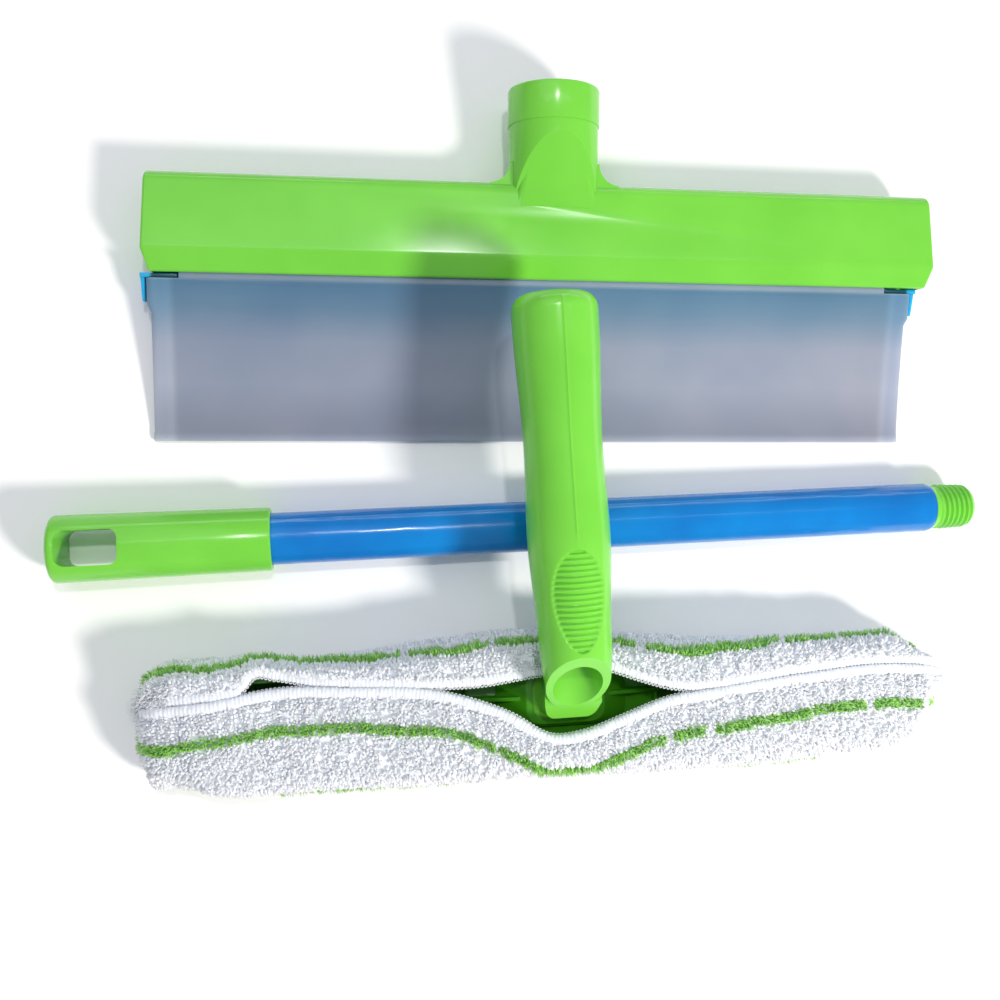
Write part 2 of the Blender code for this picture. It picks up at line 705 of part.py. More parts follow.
def handle_radius(along):
    """Outer radius along the handle, through the neck, the swell, the waist and the butt."""
    knots = (
        (-30.0, HANDLE_NECK_RADIUS),
        (HANDLE_NECK_AT, HANDLE_NECK_RADIUS + 0.3),
        (HANDLE_SWELL_AT, HANDLE_SWELL_RADIUS),
        (HANDLE_WAIST_AT, HANDLE_WAIST_RADIUS),
        (HANDLE_LENGTH - HANDLE_BUTT_RUN, HANDLE_BUTT_RADIUS),
        (HANDLE_LENGTH, HANDLE_BUTT_RADIUS),
    )
    for (x0, r0), (x1, r1) in zip(knots, knots[1:]):
        if along <= x1:
            share = (along - x0) / (x1 - x0)
            return r0 + (r1 - r0) * (3 * share ** 2 - 2 * share ** 3)
    return HANDLE_BUTT_RADIUS


def washer_handle(parent, grip_frame):
    """Hollow handle along the grip frame's +Y, cut aslant at its near end, on a short neck."""
    profile = [(0, HANDLE_LENGTH)]
    for step in range(6):
        angle = math.pi / 2 * step / 5
        profile.append((
            HANDLE_BUTT_RADIUS - HANDLE_BUTT_ROUND * (1 - math.sin(angle)),
            HANDLE_LENGTH - HANDLE_BUTT_ROUND * (1 - math.cos(angle)),
        ))
    stations = 14
    near = -HANDLE_NECK_RADIUS - 4.0
    far = HANDLE_LENGTH - HANDLE_BUTT_ROUND
    for step in range(1, stations + 1):
        along = far + (near - far) * step / stations
        profile.append((handle_radius(along), along))
    profile.append((0, near))
    handle = turned("washer_handle", grip_frame, profile, "Y")
    under = HANDLE_Z - HANDLE_BORE - 1.5
    foot_z = BOSS_TOP + GAP
    neck = stack_along_z("handle_neck", parent, [
        (foot_z, *FOOT_HALF, 6.0),
        (foot_z + FOOT_THICK * 0.5, FOOT_HALF[0] - 1.5, FOOT_HALF[1] - 0.9, 5.5),
        (foot_z + FOOT_THICK, *NECK_HALF, 5.0),
        (under - 6.0, *NECK_HALF, 5.0),
        (under, NECK_HALF[0] + 1.2, NECK_HALF[1], 5.0),
    ], at=(0, BOSS_Y, 0))
    combine(handle, neck, "UNION")
    key = stack_along_z("handle_key", parent, [
        (BOSS_TOP - KEY_DEPTH, *KEY_HALF, 1.5),
        (foot_z + 1.0, *KEY_HALF, 1.5),
    ], at=(0, BOSS_Y, 0))
    combine(handle, key, "UNION")
    reach = 3 * HANDLE_NECK_RADIUS
    slant = prism("slant_block", grip_frame, rounded_rectangle(reach, reach, 1.0), 0, reach)
    slant.rotation_euler = (math.pi / 2 - HANDLE_CUT, 0, 0)
    combine(handle, slant, "DIFFERENCE")
    bore = turned("handle_bore", grip_frame, [
        (0, HANDLE_LENGTH - BUTT_SOCKET + 2), (HANDLE_BORE, HANDLE_LENGTH - BUTT_SOCKET + 2),
        (HANDLE_BORE, near - 10), (0, near - 10),
    ], "Y", steps=28)
    combine(handle, bore, "DIFFERENCE")
    low = HANDLE_LENGTH - BUTT_SOCKET
    thread = female_thread("butt_thread", grip_frame, low, HANDLE_LENGTH + 2, "Y")
    combine(handle, thread, "DIFFERENCE")
    angles = [2 * math.pi * step / 24 for step in range(24)]
    ellipse = [(THUMB_HALF[0] * math.cos(angle), THUMB_HALF[1] * math.sin(angle)) for angle in angles]
    thumb = prism("thumb_recess", grip_frame, ellipse, -THUMB_DEPTH, 10)
    ends = [handle_radius(THUMB_AT + side * THUMB_HALF[1]) for side in (-1, 1)]
    thumb.location = Vector((0, THUMB_AT, sum(ends) / 2)) * MM
    thumb.rotation_euler = (math.atan((ends[1] - ends[0]) / (2 * THUMB_HALF[1])), 0, 0)
    combine(handle, thumb, "DIFFERENCE")
    return finish(handle, GREEN_PLASTIC)


# ---------------------------------------------------------------- how the items lie on the table

def head_pose():
    """Tilt and height of the head as it lies on its back.

    Each place that can touch the table is (distance from the socket's mouth, depth below the mid-plane).
    The head rests on the two of them, one each side of its balance point, that all others lie above.
    """
    places = [
        (SOCKET_EDGE, SOCKET_RADIUS),
        (SOCKET_BAND, SOCKET_RADIUS),
        (ARCH_PEAK, SOCKET_RADIUS - SOCKET_STEP),
        (-BAR_CREASE_Y, BAR_THICK_CREASE / 2),
        (-BAR_MOUTH_Y, BAR_THICK_MOUTH / 2),
        (-BAR_MOUTH_Y + BLADE_DROP, LIP_THICK / 2),
    ]
    balance = -(BAR_CREASE_Y + BAR_MOUTH_Y) / 2
    for start, depth in places:
        for end, end_depth in places:
            if not start < balance < end:
                continue
            slope = (depth - end_depth) / (end - start)
            if all(depth - slope * (run - start) >= deep - 1e-6 for run, deep in places):
                tilt = math.atan(slope)
                return tilt, depth * math.cos(tilt) + start * math.sin(tilt)
    raise ValueError("the head has no two places to rest on")


def lip_y():
    tilt, _ = head_pose()
    return (BAR_MOUTH_Y - BLADE_DROP) * math.cos(tilt)


def pole_pose():
    """Start point, yaw and fall of the pole, which lies on the grip's end and on the film's end."""
    run = FILM_END - GRIP_EDGE
    fall = math.asin((GRIP_RADIUS_END - FILM_RADIUS) / run)
    right = BAR_LENGTH / 2
    start_x = -BAR_LENGTH / 2 + POLE_START
    axis_at_right = lip_y() - POLE_CLEARANCE - FILM_RADIUS
    start_y = axis_at_right - (right - start_x) * math.tan(POLE_YAW)
    height = GRIP_RADIUS_END * math.cos(fall) + GRIP_EDGE * math.sin(fall)
    return (start_x, start_y, height), fall


def washer_pose():
    """Centre of the tray, set off from the pole's axis along Y."""
    (start_x, start_y, _), _ = pole_pose()
    axis_y = start_y + (WASHER_X - start_x) * math.tan(POLE_YAW)
    half = TRAY_WIDTH / 2 + SLEEVE_SIDE + GAP
    return WASHER_X, axis_y - WASHER_CLEARANCE - half


def stand_on_origin(kit):
    """Moves the whole kit so that its box stands on the origin."""
    bpy.context.view_layer.update()
    graph = bpy.context.evaluated_depsgraph_get()
    low = Vector((1e9, 1e9, 1e9))
    high = -low
    for obj in PARTS.objects:
        if obj.type != "MESH":
            continue
        solid = obj.evaluated_get(graph)
        for vertex in solid.data.vertices:
            point = solid.matrix_world @ vertex.co
            low = Vector(map(min, low, point))
            high = Vector(map(max, high, point))
    kit.location = (-(low.x + high.x) / 2, -(low.y + high.y) / 2, -low.z)


clear_scene()
PARTS = collection("window_squeegee_kit")
TOOLS = collection("construction")

GREEN_PLASTIC = material("green_polypropylene", GREEN, 0.35)
GREEN_PLASTIC_DEEP = material("green_polypropylene_inner", GREEN_DEEP, 0.45)
BLUE_SLEEVE = material("blue_film", BLUE_FILM, 0.15)
BLUE_PLASTIC = material("blue_polypropylene", BLUE_CORE, 0.35)
STEEL_TUBE = material("steel_tube", STEEL, 0.3, metallic=1.0)
FROSTED_SILICONE = material("frosted_silicone", FROSTED, 0.5)
MICROFIBRE = material("microfibre_pile", CLOTH, 0.95)

kit_frame = frame("kit")
head_tilt, head_height = head_pose()
head_frame = frame("head_frame", kit_frame, (0, 0, head_height), (head_tilt, 0, 0))
head_shell(head_frame)
socket_bush(head_frame)

cartridge_frame = frame("cartridge_frame", head_frame, (CARTRIDGE_OFFSET, BAR_MOUTH_Y, 0))
blade_core(cartridge_frame)
silicone_blade(cartridge_frame)

pole_start, pole_fall = pole_pose()
pole_frame = frame("pole_frame", kit_frame, pole_start, (0, pole_fall, POLE_YAW))
pole_tube(pole_frame)
pole_film(pole_frame)
pole_grip(pole_frame)
thread_plug(pole_frame)

washer_frame = frame("washer_frame", kit_frame, (*washer_pose(), 0), (0, 0, WASHER_YAW))
grip_frame = frame("washer_grip_frame", washer_frame, (0, HANDLE_Y, HANDLE_Z), (HANDLE_RISE, 0, HANDLE_SKEW))
washer_handle(washer_frame, grip_frame)
washer_tray(washer_frame)
washer_sleeve(washer_frame)

smooth_round(*[obj for obj in PARTS.objects if obj.type == "MESH" and obj.name != "washer_tray"])
stand_on_origin(kit_frame)
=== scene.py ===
import json
import math

import bmesh
import bpy
import numpy as np
from mathutils import Matrix, Vector, noise


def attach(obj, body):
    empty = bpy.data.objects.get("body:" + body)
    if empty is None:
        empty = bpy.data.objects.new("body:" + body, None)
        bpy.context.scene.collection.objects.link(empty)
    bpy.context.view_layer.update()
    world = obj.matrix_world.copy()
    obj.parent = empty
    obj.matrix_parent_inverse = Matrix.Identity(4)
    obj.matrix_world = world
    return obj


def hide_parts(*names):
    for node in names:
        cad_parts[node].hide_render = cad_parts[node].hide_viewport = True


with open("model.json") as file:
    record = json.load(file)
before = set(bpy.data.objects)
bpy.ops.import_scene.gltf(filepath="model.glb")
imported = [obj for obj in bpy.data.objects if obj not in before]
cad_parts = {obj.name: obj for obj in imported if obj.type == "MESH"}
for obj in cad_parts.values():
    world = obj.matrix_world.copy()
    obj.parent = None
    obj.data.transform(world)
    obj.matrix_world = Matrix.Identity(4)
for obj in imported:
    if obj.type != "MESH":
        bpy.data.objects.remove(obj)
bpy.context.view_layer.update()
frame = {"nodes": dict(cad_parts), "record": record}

NOISE_SEED = 1
noise.seed_set(NOISE_SEED)     # noise_vector would take its offsets from the clock

# Sizes are in millimetres and become metres where Blender is given them.
MM = 0.001
FIT_GAP = 0.3                  # between pieces that fit in one another
MOUNTS = {mount["name"]: mount for mount in frame["record"]["mounts"]}

# Squeegee head, measured from its socket's mouth: +Y out of the mouth, +Z the face that looks up
SOCKET_R = 20.0
SOCKET_SIDES = 128
SOCKET_EDGE = 1.0
SOCKET_STEP = 0.45
SOCKET_BAND = 15.8
SOCKET_BORE_R = 17.3
SOCKET_WELL_R = 10.4
SOCKET_WELL_Y = -35.0
RIM_MIDDLE_R = 18.15           # where the socket's rim is measured
ARCH_PEAK_Y = -21.0
ARCH_SLOPE = math.radians(26.2)
FILLET_R = 9.0
FILLET_OVERLAP = 0.3
ARCH_RUN_OUT = ((-36.0, 14.8, 12.1), (-44.5, 17.2, 9.7), (-51.0, 18.4, 9.5))
WEB_HALF = 6.0
WEB_SINK = 5.0                 # how far the web runs into the bar
BAR_TOP_Y = -40.6
BAR_CREASE_Y = -73.0
BAR_MOUTH_Y = -82.4
BAR_TOP_HALF = (173.2, 8.0)    # half length and half thickness
BAR_CREASE_HALF = (174.5, 12.25)
BAR_MOUTH_HALF = (171.6, 10.0)
BAR_WALL = 2.2
BAR_CORNER = 5.0
BAR_CREASE_CORNER = 1.6
BAR_EDGE = 1.3
HEAD_EDGE = 0.4

# Bush in the socket
BUSH_LENGTH = 19.0
BUSH_FLANGE = 3.0
BUSH_WAIST = 2.6
BUSH_WAIST_RAMP = 1.3
BUSH_EDGE = 0.5

# Blade, measured from the bar's mouth
CARTRIDGE_X = -3.3
BLADE_HALF = 168.5
BLADE_SHOULDER = 1.6
BLADE_SHOULDER_DROP = 11.0
BLADE_THICK = 15.4
BLADE_WALL = 1.8
BLADE_DROP = 70.6
BLADE_TOP_GAP = 2.4
BLADE_CURVE = 1.5
LIP_THICK = 2.9
LIP_WAIST = 2.2
LIP_HEIGHT = 4.5
LIP_LONGER = 0.2
LIP_CHAMFER = (0.5, 0.3)       # along the drop and across it
FLANGE_HALF = (156.5, 7.5)
FLANGE_TOP = 6.0
BLADE_STEPS = 14
BLADE_CORNER = 3.6
CORE_EDGE = 0.35

# Pole, measured from the grip's closed end
POLE_LENGTH = 405.0
GRIP_LENGTH = 88.6
GRIP_END_R = 14.0
GRIP_MOUTH_R = 13.3
GRIP_BORE_START = 34.6
SLOT_START = 3.6
SLOT_LENGTH = 24.6
SLOT_WIDTH = 14.6
SLOT_CORNER = 4.0
GRIP_END_ROUND = 2.5
GRIP_MOUTH_ROUND = 0.6
GRIP_EDGE = 0.55
FILM_R = 11.0
FILM_THICK = 0.3
FILM_END = 385.0
FILM_SEAM_ANGLE = math.radians(-48)
FILM_SEAM_HALF = 0.05          # in radians
FILM_SEAM_HEIGHT = 0.16
FILM_ROLLED_END = 1.5
FILM_OVER = 0.12               # highest that wrinkles and seam stand over the film
TIP_R = 10.4
TIP_TAPER = 0.6
TIP_SPIGOT_R = 9.2
TIP_SPIGOT_LENGTH = 24.0
TIP_PLAIN = 3.0
TIP_ROUND = (2.0, 1.6)         # along the tip and across it
PITCH = 2.45
THREAD_DEPTH = 1.1
THREAD_PLAY = 0.4

# Washer, measured from the middle of its sole
WASHER_YAW = math.radians(1.8)
GRIP_SEAT = (0.0, 12.9, 47.5)
GRIP_RISE = math.radians(4.0)
GRIP_SKEW = math.radians(1.8)
HANDLE_LENGTH = 158.0
HANDLE_NEAR = -18.6
HANDLE_CUT = math.radians(44.0)
HANDLE_BORE_R = 10.2
HANDLE_BORE_END = 136.0
HANDLE_BUTT_ROUND = 7.0
HANDLE_RADII = (
    (-30.0, 11.9), (-14.0, 12.2), (20.0, 14.9), (60.0, 16.8), (98.0, 15.9), (145.0, 17.5), (160.0, 17.5),
)
# Shares of the handle's rings and where they go, so that the thumb rest and the butt get the most
HANDLE_STATIONS = ((0, HANDLE_NEAR), (0.13, 12.0), (0.68, 56.5), (0.93, 150.5), (1, HANDLE_LENGTH))
BUTT_THREAD_Y = 134.0
THUMB_Y = 36.0
THUMB_HALF = (10.6, 20.5)
THUMB_FLARE = 0.16
THUMB_EDGE = 1.1
THUMB_DEPTH = 1.25
THUMB_RIB = 1.0
THUMB_RIB_PITCH = 2.3
MOULD_LINE_HEIGHT = 0.32
MOULD_LINE_HALF = 0.25
KEY_HALF = (8.0, 4.6)
KEY_DEPTH = 8.0
NECK_Y = 5.0
NECK_FOOT_Z = 20.3
NECK_CORNER = 5.0
# (height over the foot, half length, half width)
NECK_STAGES = (
    (0.0, 14.2, 9.0), (0.5, 13.6, 8.6), (1.3, 12.6, 8.1), (2.6, 11.6, 7.7), (4.4, 10.9, 7.4),
    (7.0, 10.5, 7.3), (10.0, 10.5, 7.3), (14.0, 11.2, 7.4), (17.0, 12.0, 7.4),
)
TRAY_EDGE = 0.4


# ------------ places

def placed(origin, x_axis, y_axis):
    """Matrix that takes a piece modelled round its own origin to where the CAD has it."""
    x = Vector(x_axis).normalized()
    y = Vector(y_axis).normalized()
    matrix = Matrix((x, y, x.cross(y))).transposed().to_4x4()
    matrix.translation = Vector(origin)
    return matrix


def shifted(x, y, z):
    return Matrix.Translation(Vector((x, y, z)) * MM)


RIM = MOUNTS["socket_rim"]
HEAD = placed(Vector(RIM["pos_m"]) - Vector((RIM_MIDDLE_R * MM, 0, 0)), (1, 0, 0), RIM["axis"])
CARTRIDGE = HEAD @ shifted(CARTRIDGE_X, BAR_MOUTH_Y, 0)
POLE_AXIS = -Vector(MOUNTS["grip_end"]["axis"])
POLE = placed(MOUNTS["grip_end"]["pos_m"], POLE_AXIS, Vector((0, 0, 1)).cross(POLE_AXIS))
POLE_ALONG_Y = POLE @ Matrix.Rotation(-math.pi / 2, 4, "Z")
WASHER = Matrix.Translation(MOUNTS["washer_sole"]["pos_m"]) @ Matrix.Rotation(WASHER_YAW, 4, "Z")
GRIP_TURN = Matrix.Rotation(GRIP_SKEW, 4, "Z") @ Matrix.Rotation(GRIP_RISE, 4, "X")
GRIP = WASHER @ shifted(*GRIP_SEAT) @ GRIP_TURN


# ------------ materials

def srgb(code):
    """Turns an sRGB hex colour to linear."""
    levels = [int(code[i:i + 2], 16) / 255 for i in (0, 2, 4)]
    linear = [c / 12.92 if c <= 0.04045 else ((c + 0.055) / 1.055) ** 2.4 for c in levels]
    return (*linear, 1.0)


def add_node(tree, kind, inputs=None, links=None, **settings):
    """Adds one node with its settings, its values and what is linked to it."""
    made = tree.nodes.new(kind)
    for key, value in settings.items():
        setattr(made, key, value)
    for key, value in (inputs or {}).items():
        made.inputs[key].default_value = value
    for key, socket in (links or {}).items():
        tree.links.new(socket, made.inputs[key])
    return made


def new_material(name, **values):
    """A Principled material with these values on its shader."""
    made = bpy.data.materials.new(name)
    made.use_nodes = True
    shader = made.node_tree.nodes["Principled BSDF"]
    for key, value in values.items():
        shader.inputs[key.replace("_", " ")].default_value = value
    return made, made.node_tree, shader


def toned(tree, factor, *stops):
    """Colour by a pattern, through stops of (position, colour)."""
    made = add_node(tree, "ShaderNodeValToRGB", links={"Fac": factor})
    stop_row = made.color_ramp.elements
    while len(stop_row) < len(stops):
        stop_row.new(1.0)
    for stop, (position, code) in zip(stop_row, stops):
        stop.position = position
        stop.color = srgb(code)
    return made.outputs["Color"]


def multiplied(tree, first, second):
    made = add_node(
        tree, "ShaderNodeMixRGB", {"Fac": 1.0}, {"Color1": first, "Color2": second}, blend_type="MULTIPLY",
    )
    return made.outputs["Color"]


def share_along(tree, place, axis, start_mm, length_mm):
    """0 to 1 over a stretch of one of the piece's own axes."""
    start = [0.0, 0.0, 0.0]
    start["XYZ".index(axis)] = start_mm * MM
    where = add_node(tree, "ShaderNodeTexCoord")
    local = add_node(
        tree, "ShaderNodeMapping",
        {"Location": place @ Vector(start), "Rotation": place.to_euler(), "Scale": [length_mm * MM] * 3},
        {"Vector": where.outputs["Object"]}, vector_type="TEXTURE",
    )
    split = add_node(tree, "ShaderNodeSeparateXYZ", links={"Vector": local.outputs["Vector"]})
    return split.outputs[axis]


def two_colours(tree, shader, factor, low, high, start=0.35, end=0.65):
    """Colours the shader between two tones by a pattern."""
    tree.links.new(toned(tree, factor, (start, low), (end, high)), shader.inputs["Base Color"])


def roughness_between(tree, shader, factor, low, high):
    span = add_node(tree, "ShaderNodeMapRange", {"To Min": low, "To Max": high}, {"Value": factor})
    tree.links.new(span.outputs["Result"], shader.inputs["Roughness"])


def add_bump(tree, shader, height, distance_mm, strength=1.0):
    bump = add_node(
        tree, "ShaderNodeBump", {"Distance": distance_mm * MM, "Strength": strength}, {"Height": height},
    )
    tree.links.new(bump.outputs["Normal"], shader.inputs["Normal"])


def grain(tree, size_mm, detail=3.0, roughness=0.55):
    """Noise whose lumps are about this many millimetres, in the object's own place."""
    where = add_node(tree, "ShaderNodeTexCoord")
    return add_node(
        tree, "ShaderNodeTexNoise",
        {"Scale": 1.0 / (size_mm * MM), "Detail": detail, "Roughness": roughness},
        {"Vector": where.outputs["Object"]},
    )


def moulded_polypropylene(name, dark, light, roughness=0.3):
    """Injection-moulded polypropylene: slightly translucent, satin, with faint flow clouds and a fine
    texture from the mould's eroded steel, which breaks the highlights up."""
    made, tree, shader = new_material(
        name, IOR=1.49, Subsurface_Weight=0.12, Subsurface_Scale=0.004, Specular_IOR_Level=0.5,
    )
    shader.inputs["Subsurface Radius"].default_value = (0.6, 1.0, 0.3)
    clouds = grain(tree, 38.0, 2.0)
    two_colours(tree, shader, clouds.outputs["Fac"], dark, light)
    scuffs = grain(tree, 7.0, 4.0)
    roughness_between(tree, shader, scuffs.outputs["Fac"], roughness - 0.06, roughness + 0.06)
    texture = grain(tree, 0.45, 2.0)
    add_bump(tree, shader, texture.outputs["Fac"], 0.03, 0.12)
    return made


def frosted_silicone():
    """Translucent silicone with a fine frost: soft, milky, tinted blue where the core lies behind it, with
    painted highlight lines near its rounded ends and painted shade deepest left of the middle.
    """
    made, tree, shader = new_material(
        "frosted_silicone", IOR=1.41, Transmission_Weight=0.22, Subsurface_Weight=0.35,
        Subsurface_Scale=0.006,
    )
    shader.inputs["Subsurface Radius"].default_value = (1.0, 1.0, 1.0)
    clouds = grain(tree, 45.0, 2.0)
    plain = toned(tree, clouds.outputs["Fac"], (0.3, "bcc4d4"), (0.7, "cccfdb"))
    up = share_along(tree, CARTRIDGE, "Y", -BLADE_DROP, BLADE_DROP)
    # down the drop: pale at the lip's edge, darker just above it, tinted blue where the core lies behind,
    # and a pale band at the blade's top edge
    depth = toned(
        tree, up, (0.0, "ffffff"), (0.05, "d6d8dd"), (0.14, "dcdde2"), (0.35, "f0f2f6"), (0.6, "e6ecf3"),
        (0.80, "a9cfe0"), (0.955, "8cc0d8"), (0.972, "e2f4fa"), (1.0, "d6eef6"),
    )
    across = share_along(tree, CARTRIDGE, "X", -BLADE_HALF, 2 * BLADE_HALF)
    # painted highlight lines where the faces turn into the rounded ends, and painted shade across the
    # blade, deepest left of the middle and lifting towards the right
    ends = toned(
        tree, across, (0.0, "ffffff"), (0.014, "f4f6fb"), (0.022, "ffffff"), (0.030, "dcdfe6"),
        (0.3, "d3d8e0"), (0.7, "e6e8ec"), (0.968, "e9e7e8"), (0.976, "ffffff"), (0.984, "f0f3fa"),
        (1.0, "ffffff"),
    )
    shade = multiplied(tree, plain, multiplied(tree, depth, ends))
    tree.links.new(shade, shader.inputs["Base Color"])
    frost = grain(tree, 0.6, 3.0)
    roughness_between(tree, shader, frost.outputs["Fac"], 0.42, 0.58)
    add_bump(tree, shader, frost.outputs["Fac"], 0.04, 0.4)
    return made


def core_polypropylene():
    """The core's polypropylene: bright blue tabs at its ends, and painted shade over the rest, deep teal
    where the bar shades it.
    """
    made = moulded_polypropylene("moulded_polypropylene_blue", "1496cc", "1fa6dc")
    tree = made.node_tree
    shader = tree.nodes["Principled BSDF"]
    across = share_along(tree, CARTRIDGE, "X", -BLADE_HALF, 2 * BLADE_HALF)
    # painted shade: everything between the tab ends is darkened to deep teal, standing in for the bar's
    # shadow
    tone = toned(
        tree, across, (0.0, "1fa6dc"), (0.0005, "06485a"), (0.04, "0a5a6e"), (0.96, "0a5a6e"),
        (0.9995, "06485a"), (1.0, "1fa6dc"),
    )
    tree.links.new(tone, shader.inputs["Base Color"])
    return made


def shrunk_film():
    """Coloured PVC film shrunk on the tube: high gloss, with small slack wrinkles along it."""
    made, tree, shader = new_material(
        "shrunk_film", IOR=1.5, Specular_IOR_Level=0.35, Coat_Weight=0.12, Coat_Roughness=0.05,
    )
    clouds = grain(tree, 30.0, 2.0)
    two_colours(tree, shader, clouds.outputs["Fac"], "006fbe", "007dcb")
    wipes = grain(tree, 12.0, 3.0)
    roughness_between(tree, shader, wipes.outputs["Fac"], 0.14, 0.26)
    wrinkles = grain(tree, 5.0, 2.0)
    add_bump(tree, shader, wrinkles.outputs["Fac"], 0.10, 0.3)
    return made


def drawn_steel():
    """Drawn and welded mild steel tube: bright, with faint lines along it."""
    made, tree, shader = new_material("drawn_steel", Metallic=1.0)
    lines = grain(tree, 1.2, 2.0)
    two_colours(tree, shader, lines.outputs["Fac"], "8d9094", "a9acb0")
    roughness_between(tree, shader, lines.outputs["Fac"], 0.25, 0.4)
    return made


def microfibre(name, dark, light, sheen=0.4):
    """Split polyester and polyamide yarn: no gloss, a soft sheen, and shade that changes yarn by yarn."""
    made, tree, shader = new_material(
        name, Roughness=0.92, Specular_IOR_Level=0.2, Sheen_Weight=sheen, Sheen_Roughness=0.5,
        Subsurface_Weight=0.5, Subsurface_Scale=0.003,
    )
    shader.inputs["Subsurface Radius"].default_value = (1.0, 1.0, 1.0)
    yarns = grain(tree, 2.2, 3.0)
    two_colours(tree, shader, yarns.outputs["Fac"], dark, light, 0.3, 0.7)
    fibres = grain(tree, 0.35, 2.0)
    add_bump(tree, shader, fibres.outputs["Fac"], 0.12, 0.3)
    return made


GREEN = moulded_polypropylene("moulded_polypropylene_green", "70c83c", "77cf42", 0.2)
# painted shade: the same green polypropylene, darkened for the bush inside the socket and the tray under
# the sleeve
GREEN_PAINTED_SHADE = moulded_polypropylene("moulded_polypropylene_green_painted_shade", "3a8c10", "449814", 0.3)
BLUE = core_polypropylene()
SILICONE = frosted_silicone()
FILM = shrunk_film()
STEEL = drawn_steel()
BACKING = microfibre("knitted_microfibre_backing", "e0e6ee", "ebeff5", 0.1)
PILE_WHITE = microfibre("microfibre_pile_white", "e9eef6", "f8faff", 0.15)
PILE_GREEN = microfibre("microfibre_pile_green", "58b428", "9ce656")
OVERLOCK = microfibre("overlock_yarn_white", "dfe5ee", "eceff5", 0.15)


# ------------ working on a piece

def take(piece):
    """Makes this the only selected object, in object mode."""
    if bpy.context.mode != "OBJECT":
        bpy.ops.object.mode_set(mode="OBJECT")
    bpy.ops.object.select_all(action="DESELECT")
    piece.select_set(True)
    bpy.context.view_layer.objects.active = piece


def linked(name, data):
    """Puts an object with this data in the scene."""
    made = bpy.data.objects.new(name, data)
    bpy.context.scene.collection.objects.link(made)
    return made


def started(name):
    """Names the primitive that was just added and settles its size and turn in its mesh."""
    piece = bpy.context.active_object
    piece.name = name
    piece.data.name = name
    take(piece)
    bpy.ops.object.transform_apply(location=True, rotation=True, scale=True)
    return piece


def pick(piece, kind, test):
    """Opens the piece with the faces or edges selected whose middle and direction pass the test."""
    take(piece)
    bpy.ops.object.mode_set(mode="EDIT")
    bpy.ops.mesh.select_mode(type=kind)
    bpy.ops.mesh.select_all(action="DESELECT")
    mesh = bmesh.from_edit_mesh(piece.data)
    if kind == "FACE":
        for face in mesh.faces:
            face.select_set(test(face.calc_center_median() / MM, face.normal))
    else:
        for edge in mesh.edges:
            low, high = (vertex.co / MM for vertex in edge.verts)
            if test((low + high) / 2, (high - low).normalized()):
                edge.select_set(True)
    bmesh.update_edit_mesh(piece.data)


def close():
    bpy.ops.object.mode_set(mode="OBJECT")


def bevelled(piece, test, width, segments):
    """Rounds the edges that pass the test."""
    pick(piece, "EDGE", test)
    bpy.ops.mesh.bevel(offset=width * MM, segments=segments, profile=0.5, affect="EDGES")
    close()


def open_whole(piece):
    """Opens the piece with all of it selected."""
    take(piece)
    bpy.ops.object.mode_set(mode="EDIT")
    bpy.ops.mesh.select_all(action="SELECT")


def modified(piece, kind, **settings):
    """Applies one modifier with these settings."""
    take(piece)
    step = piece.modifiers.new("step", kind)
    for key, value in settings.items():
        setattr(step, key, value)
    bpy.ops.object.modifier_apply(modifier=step.name)


def joined(piece, tool, operation):
    """Joins or cuts a piece with another, which is used up."""
    modified(piece, "BOOLEAN", operation=operation, solver="EXACT", object=tool)
    bpy.data.objects.remove(tool, do_unlink=True)


def softened(piece, width, segments=2, degrees=35):
    """Breaks every hard edge, as a mould does."""
    open_whole(piece)
    bpy.ops.mesh.remove_doubles(threshold=0.00002)
    bpy.ops.mesh.dissolve_limited(angle_limit=math.radians(0.2))
    close()
    modified(
        piece, "BEVEL",
        width=width * MM, segments=segments, limit_method="ANGLE", angle_limit=math.radians(degrees),
    )


def smoothed(piece, degrees=32):
    take(piece)
    bpy.ops.object.shade_smooth_by_angle(angle=math.radians(degrees))


def settled(piece, place, body, slot, material, *nodes):
    """Puts a finished piece in its place, gives it its material and ties it to its body."""
    piece.data.transform(place)
    piece.data.update()
    piece.data.materials.clear()
    piece.data.materials.append(material)
    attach(piece, body)
    if nodes:
        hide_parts(*nodes)
    return piece


def block(name, stages, corner=0.0, segments=4):
    """A block along Y through stages of (y, half length in X, half thickness in Z)."""
    (y0, a0, b0), (y1, a1, b1) = stages[:2]
    bpy.ops.mesh.primitive_cube_add(
        size=1.0, location=(0, (y0 + y1) / 2 * MM, 0),
        scale=(2 * a0 * MM, abs(y1 - y0) * MM, 2 * b0 * MM),
    )
    piece = started(name)
    if corner:
        bevelled(piece, lambda middle, along: abs(along.y) > 0.9, corner, segments)
    way = 1 if y1 > y0 else -1
    pick(piece, "FACE", lambda middle, normal: normal.y * way > 0.9)
    bpy.ops.transform.resize(value=(a1 / a0, 1, b1 / b0), center_override=(0, y1 * MM, 0))
    for (y0, a0, b0), (y1, a1, b1) in zip(stages[1:], stages[2:]):
        bpy.ops.mesh.extrude_region_move(TRANSFORM_OT_translate={"value": (0, (y1 - y0) * MM, 0)})
        bpy.ops.transform.resize(value=(a1 / a0, 1, b1 / b0), center_override=(0, y1 * MM, 0))
    close()
    return piece


def rod(name, radius, low, high, sides=96, cuts=()):
    """A cylinder along Y. Each of cuts splits every stretch along it again."""
    bpy.ops.mesh.primitive_cylinder_add(
        vertices=sides, radius=radius * MM, depth=(high - low) * MM,
        location=(0, (low + high) / 2 * MM, 0), rotation=(math.pi / 2, 0, 0),
    )
    piece = started(name)
    for count in cuts:
        pick(piece, "EDGE", lambda middle, along: abs(along.y) > 0.9)
        bpy.ops.mesh.subdivide(number_cuts=count)
        close()
    return piece


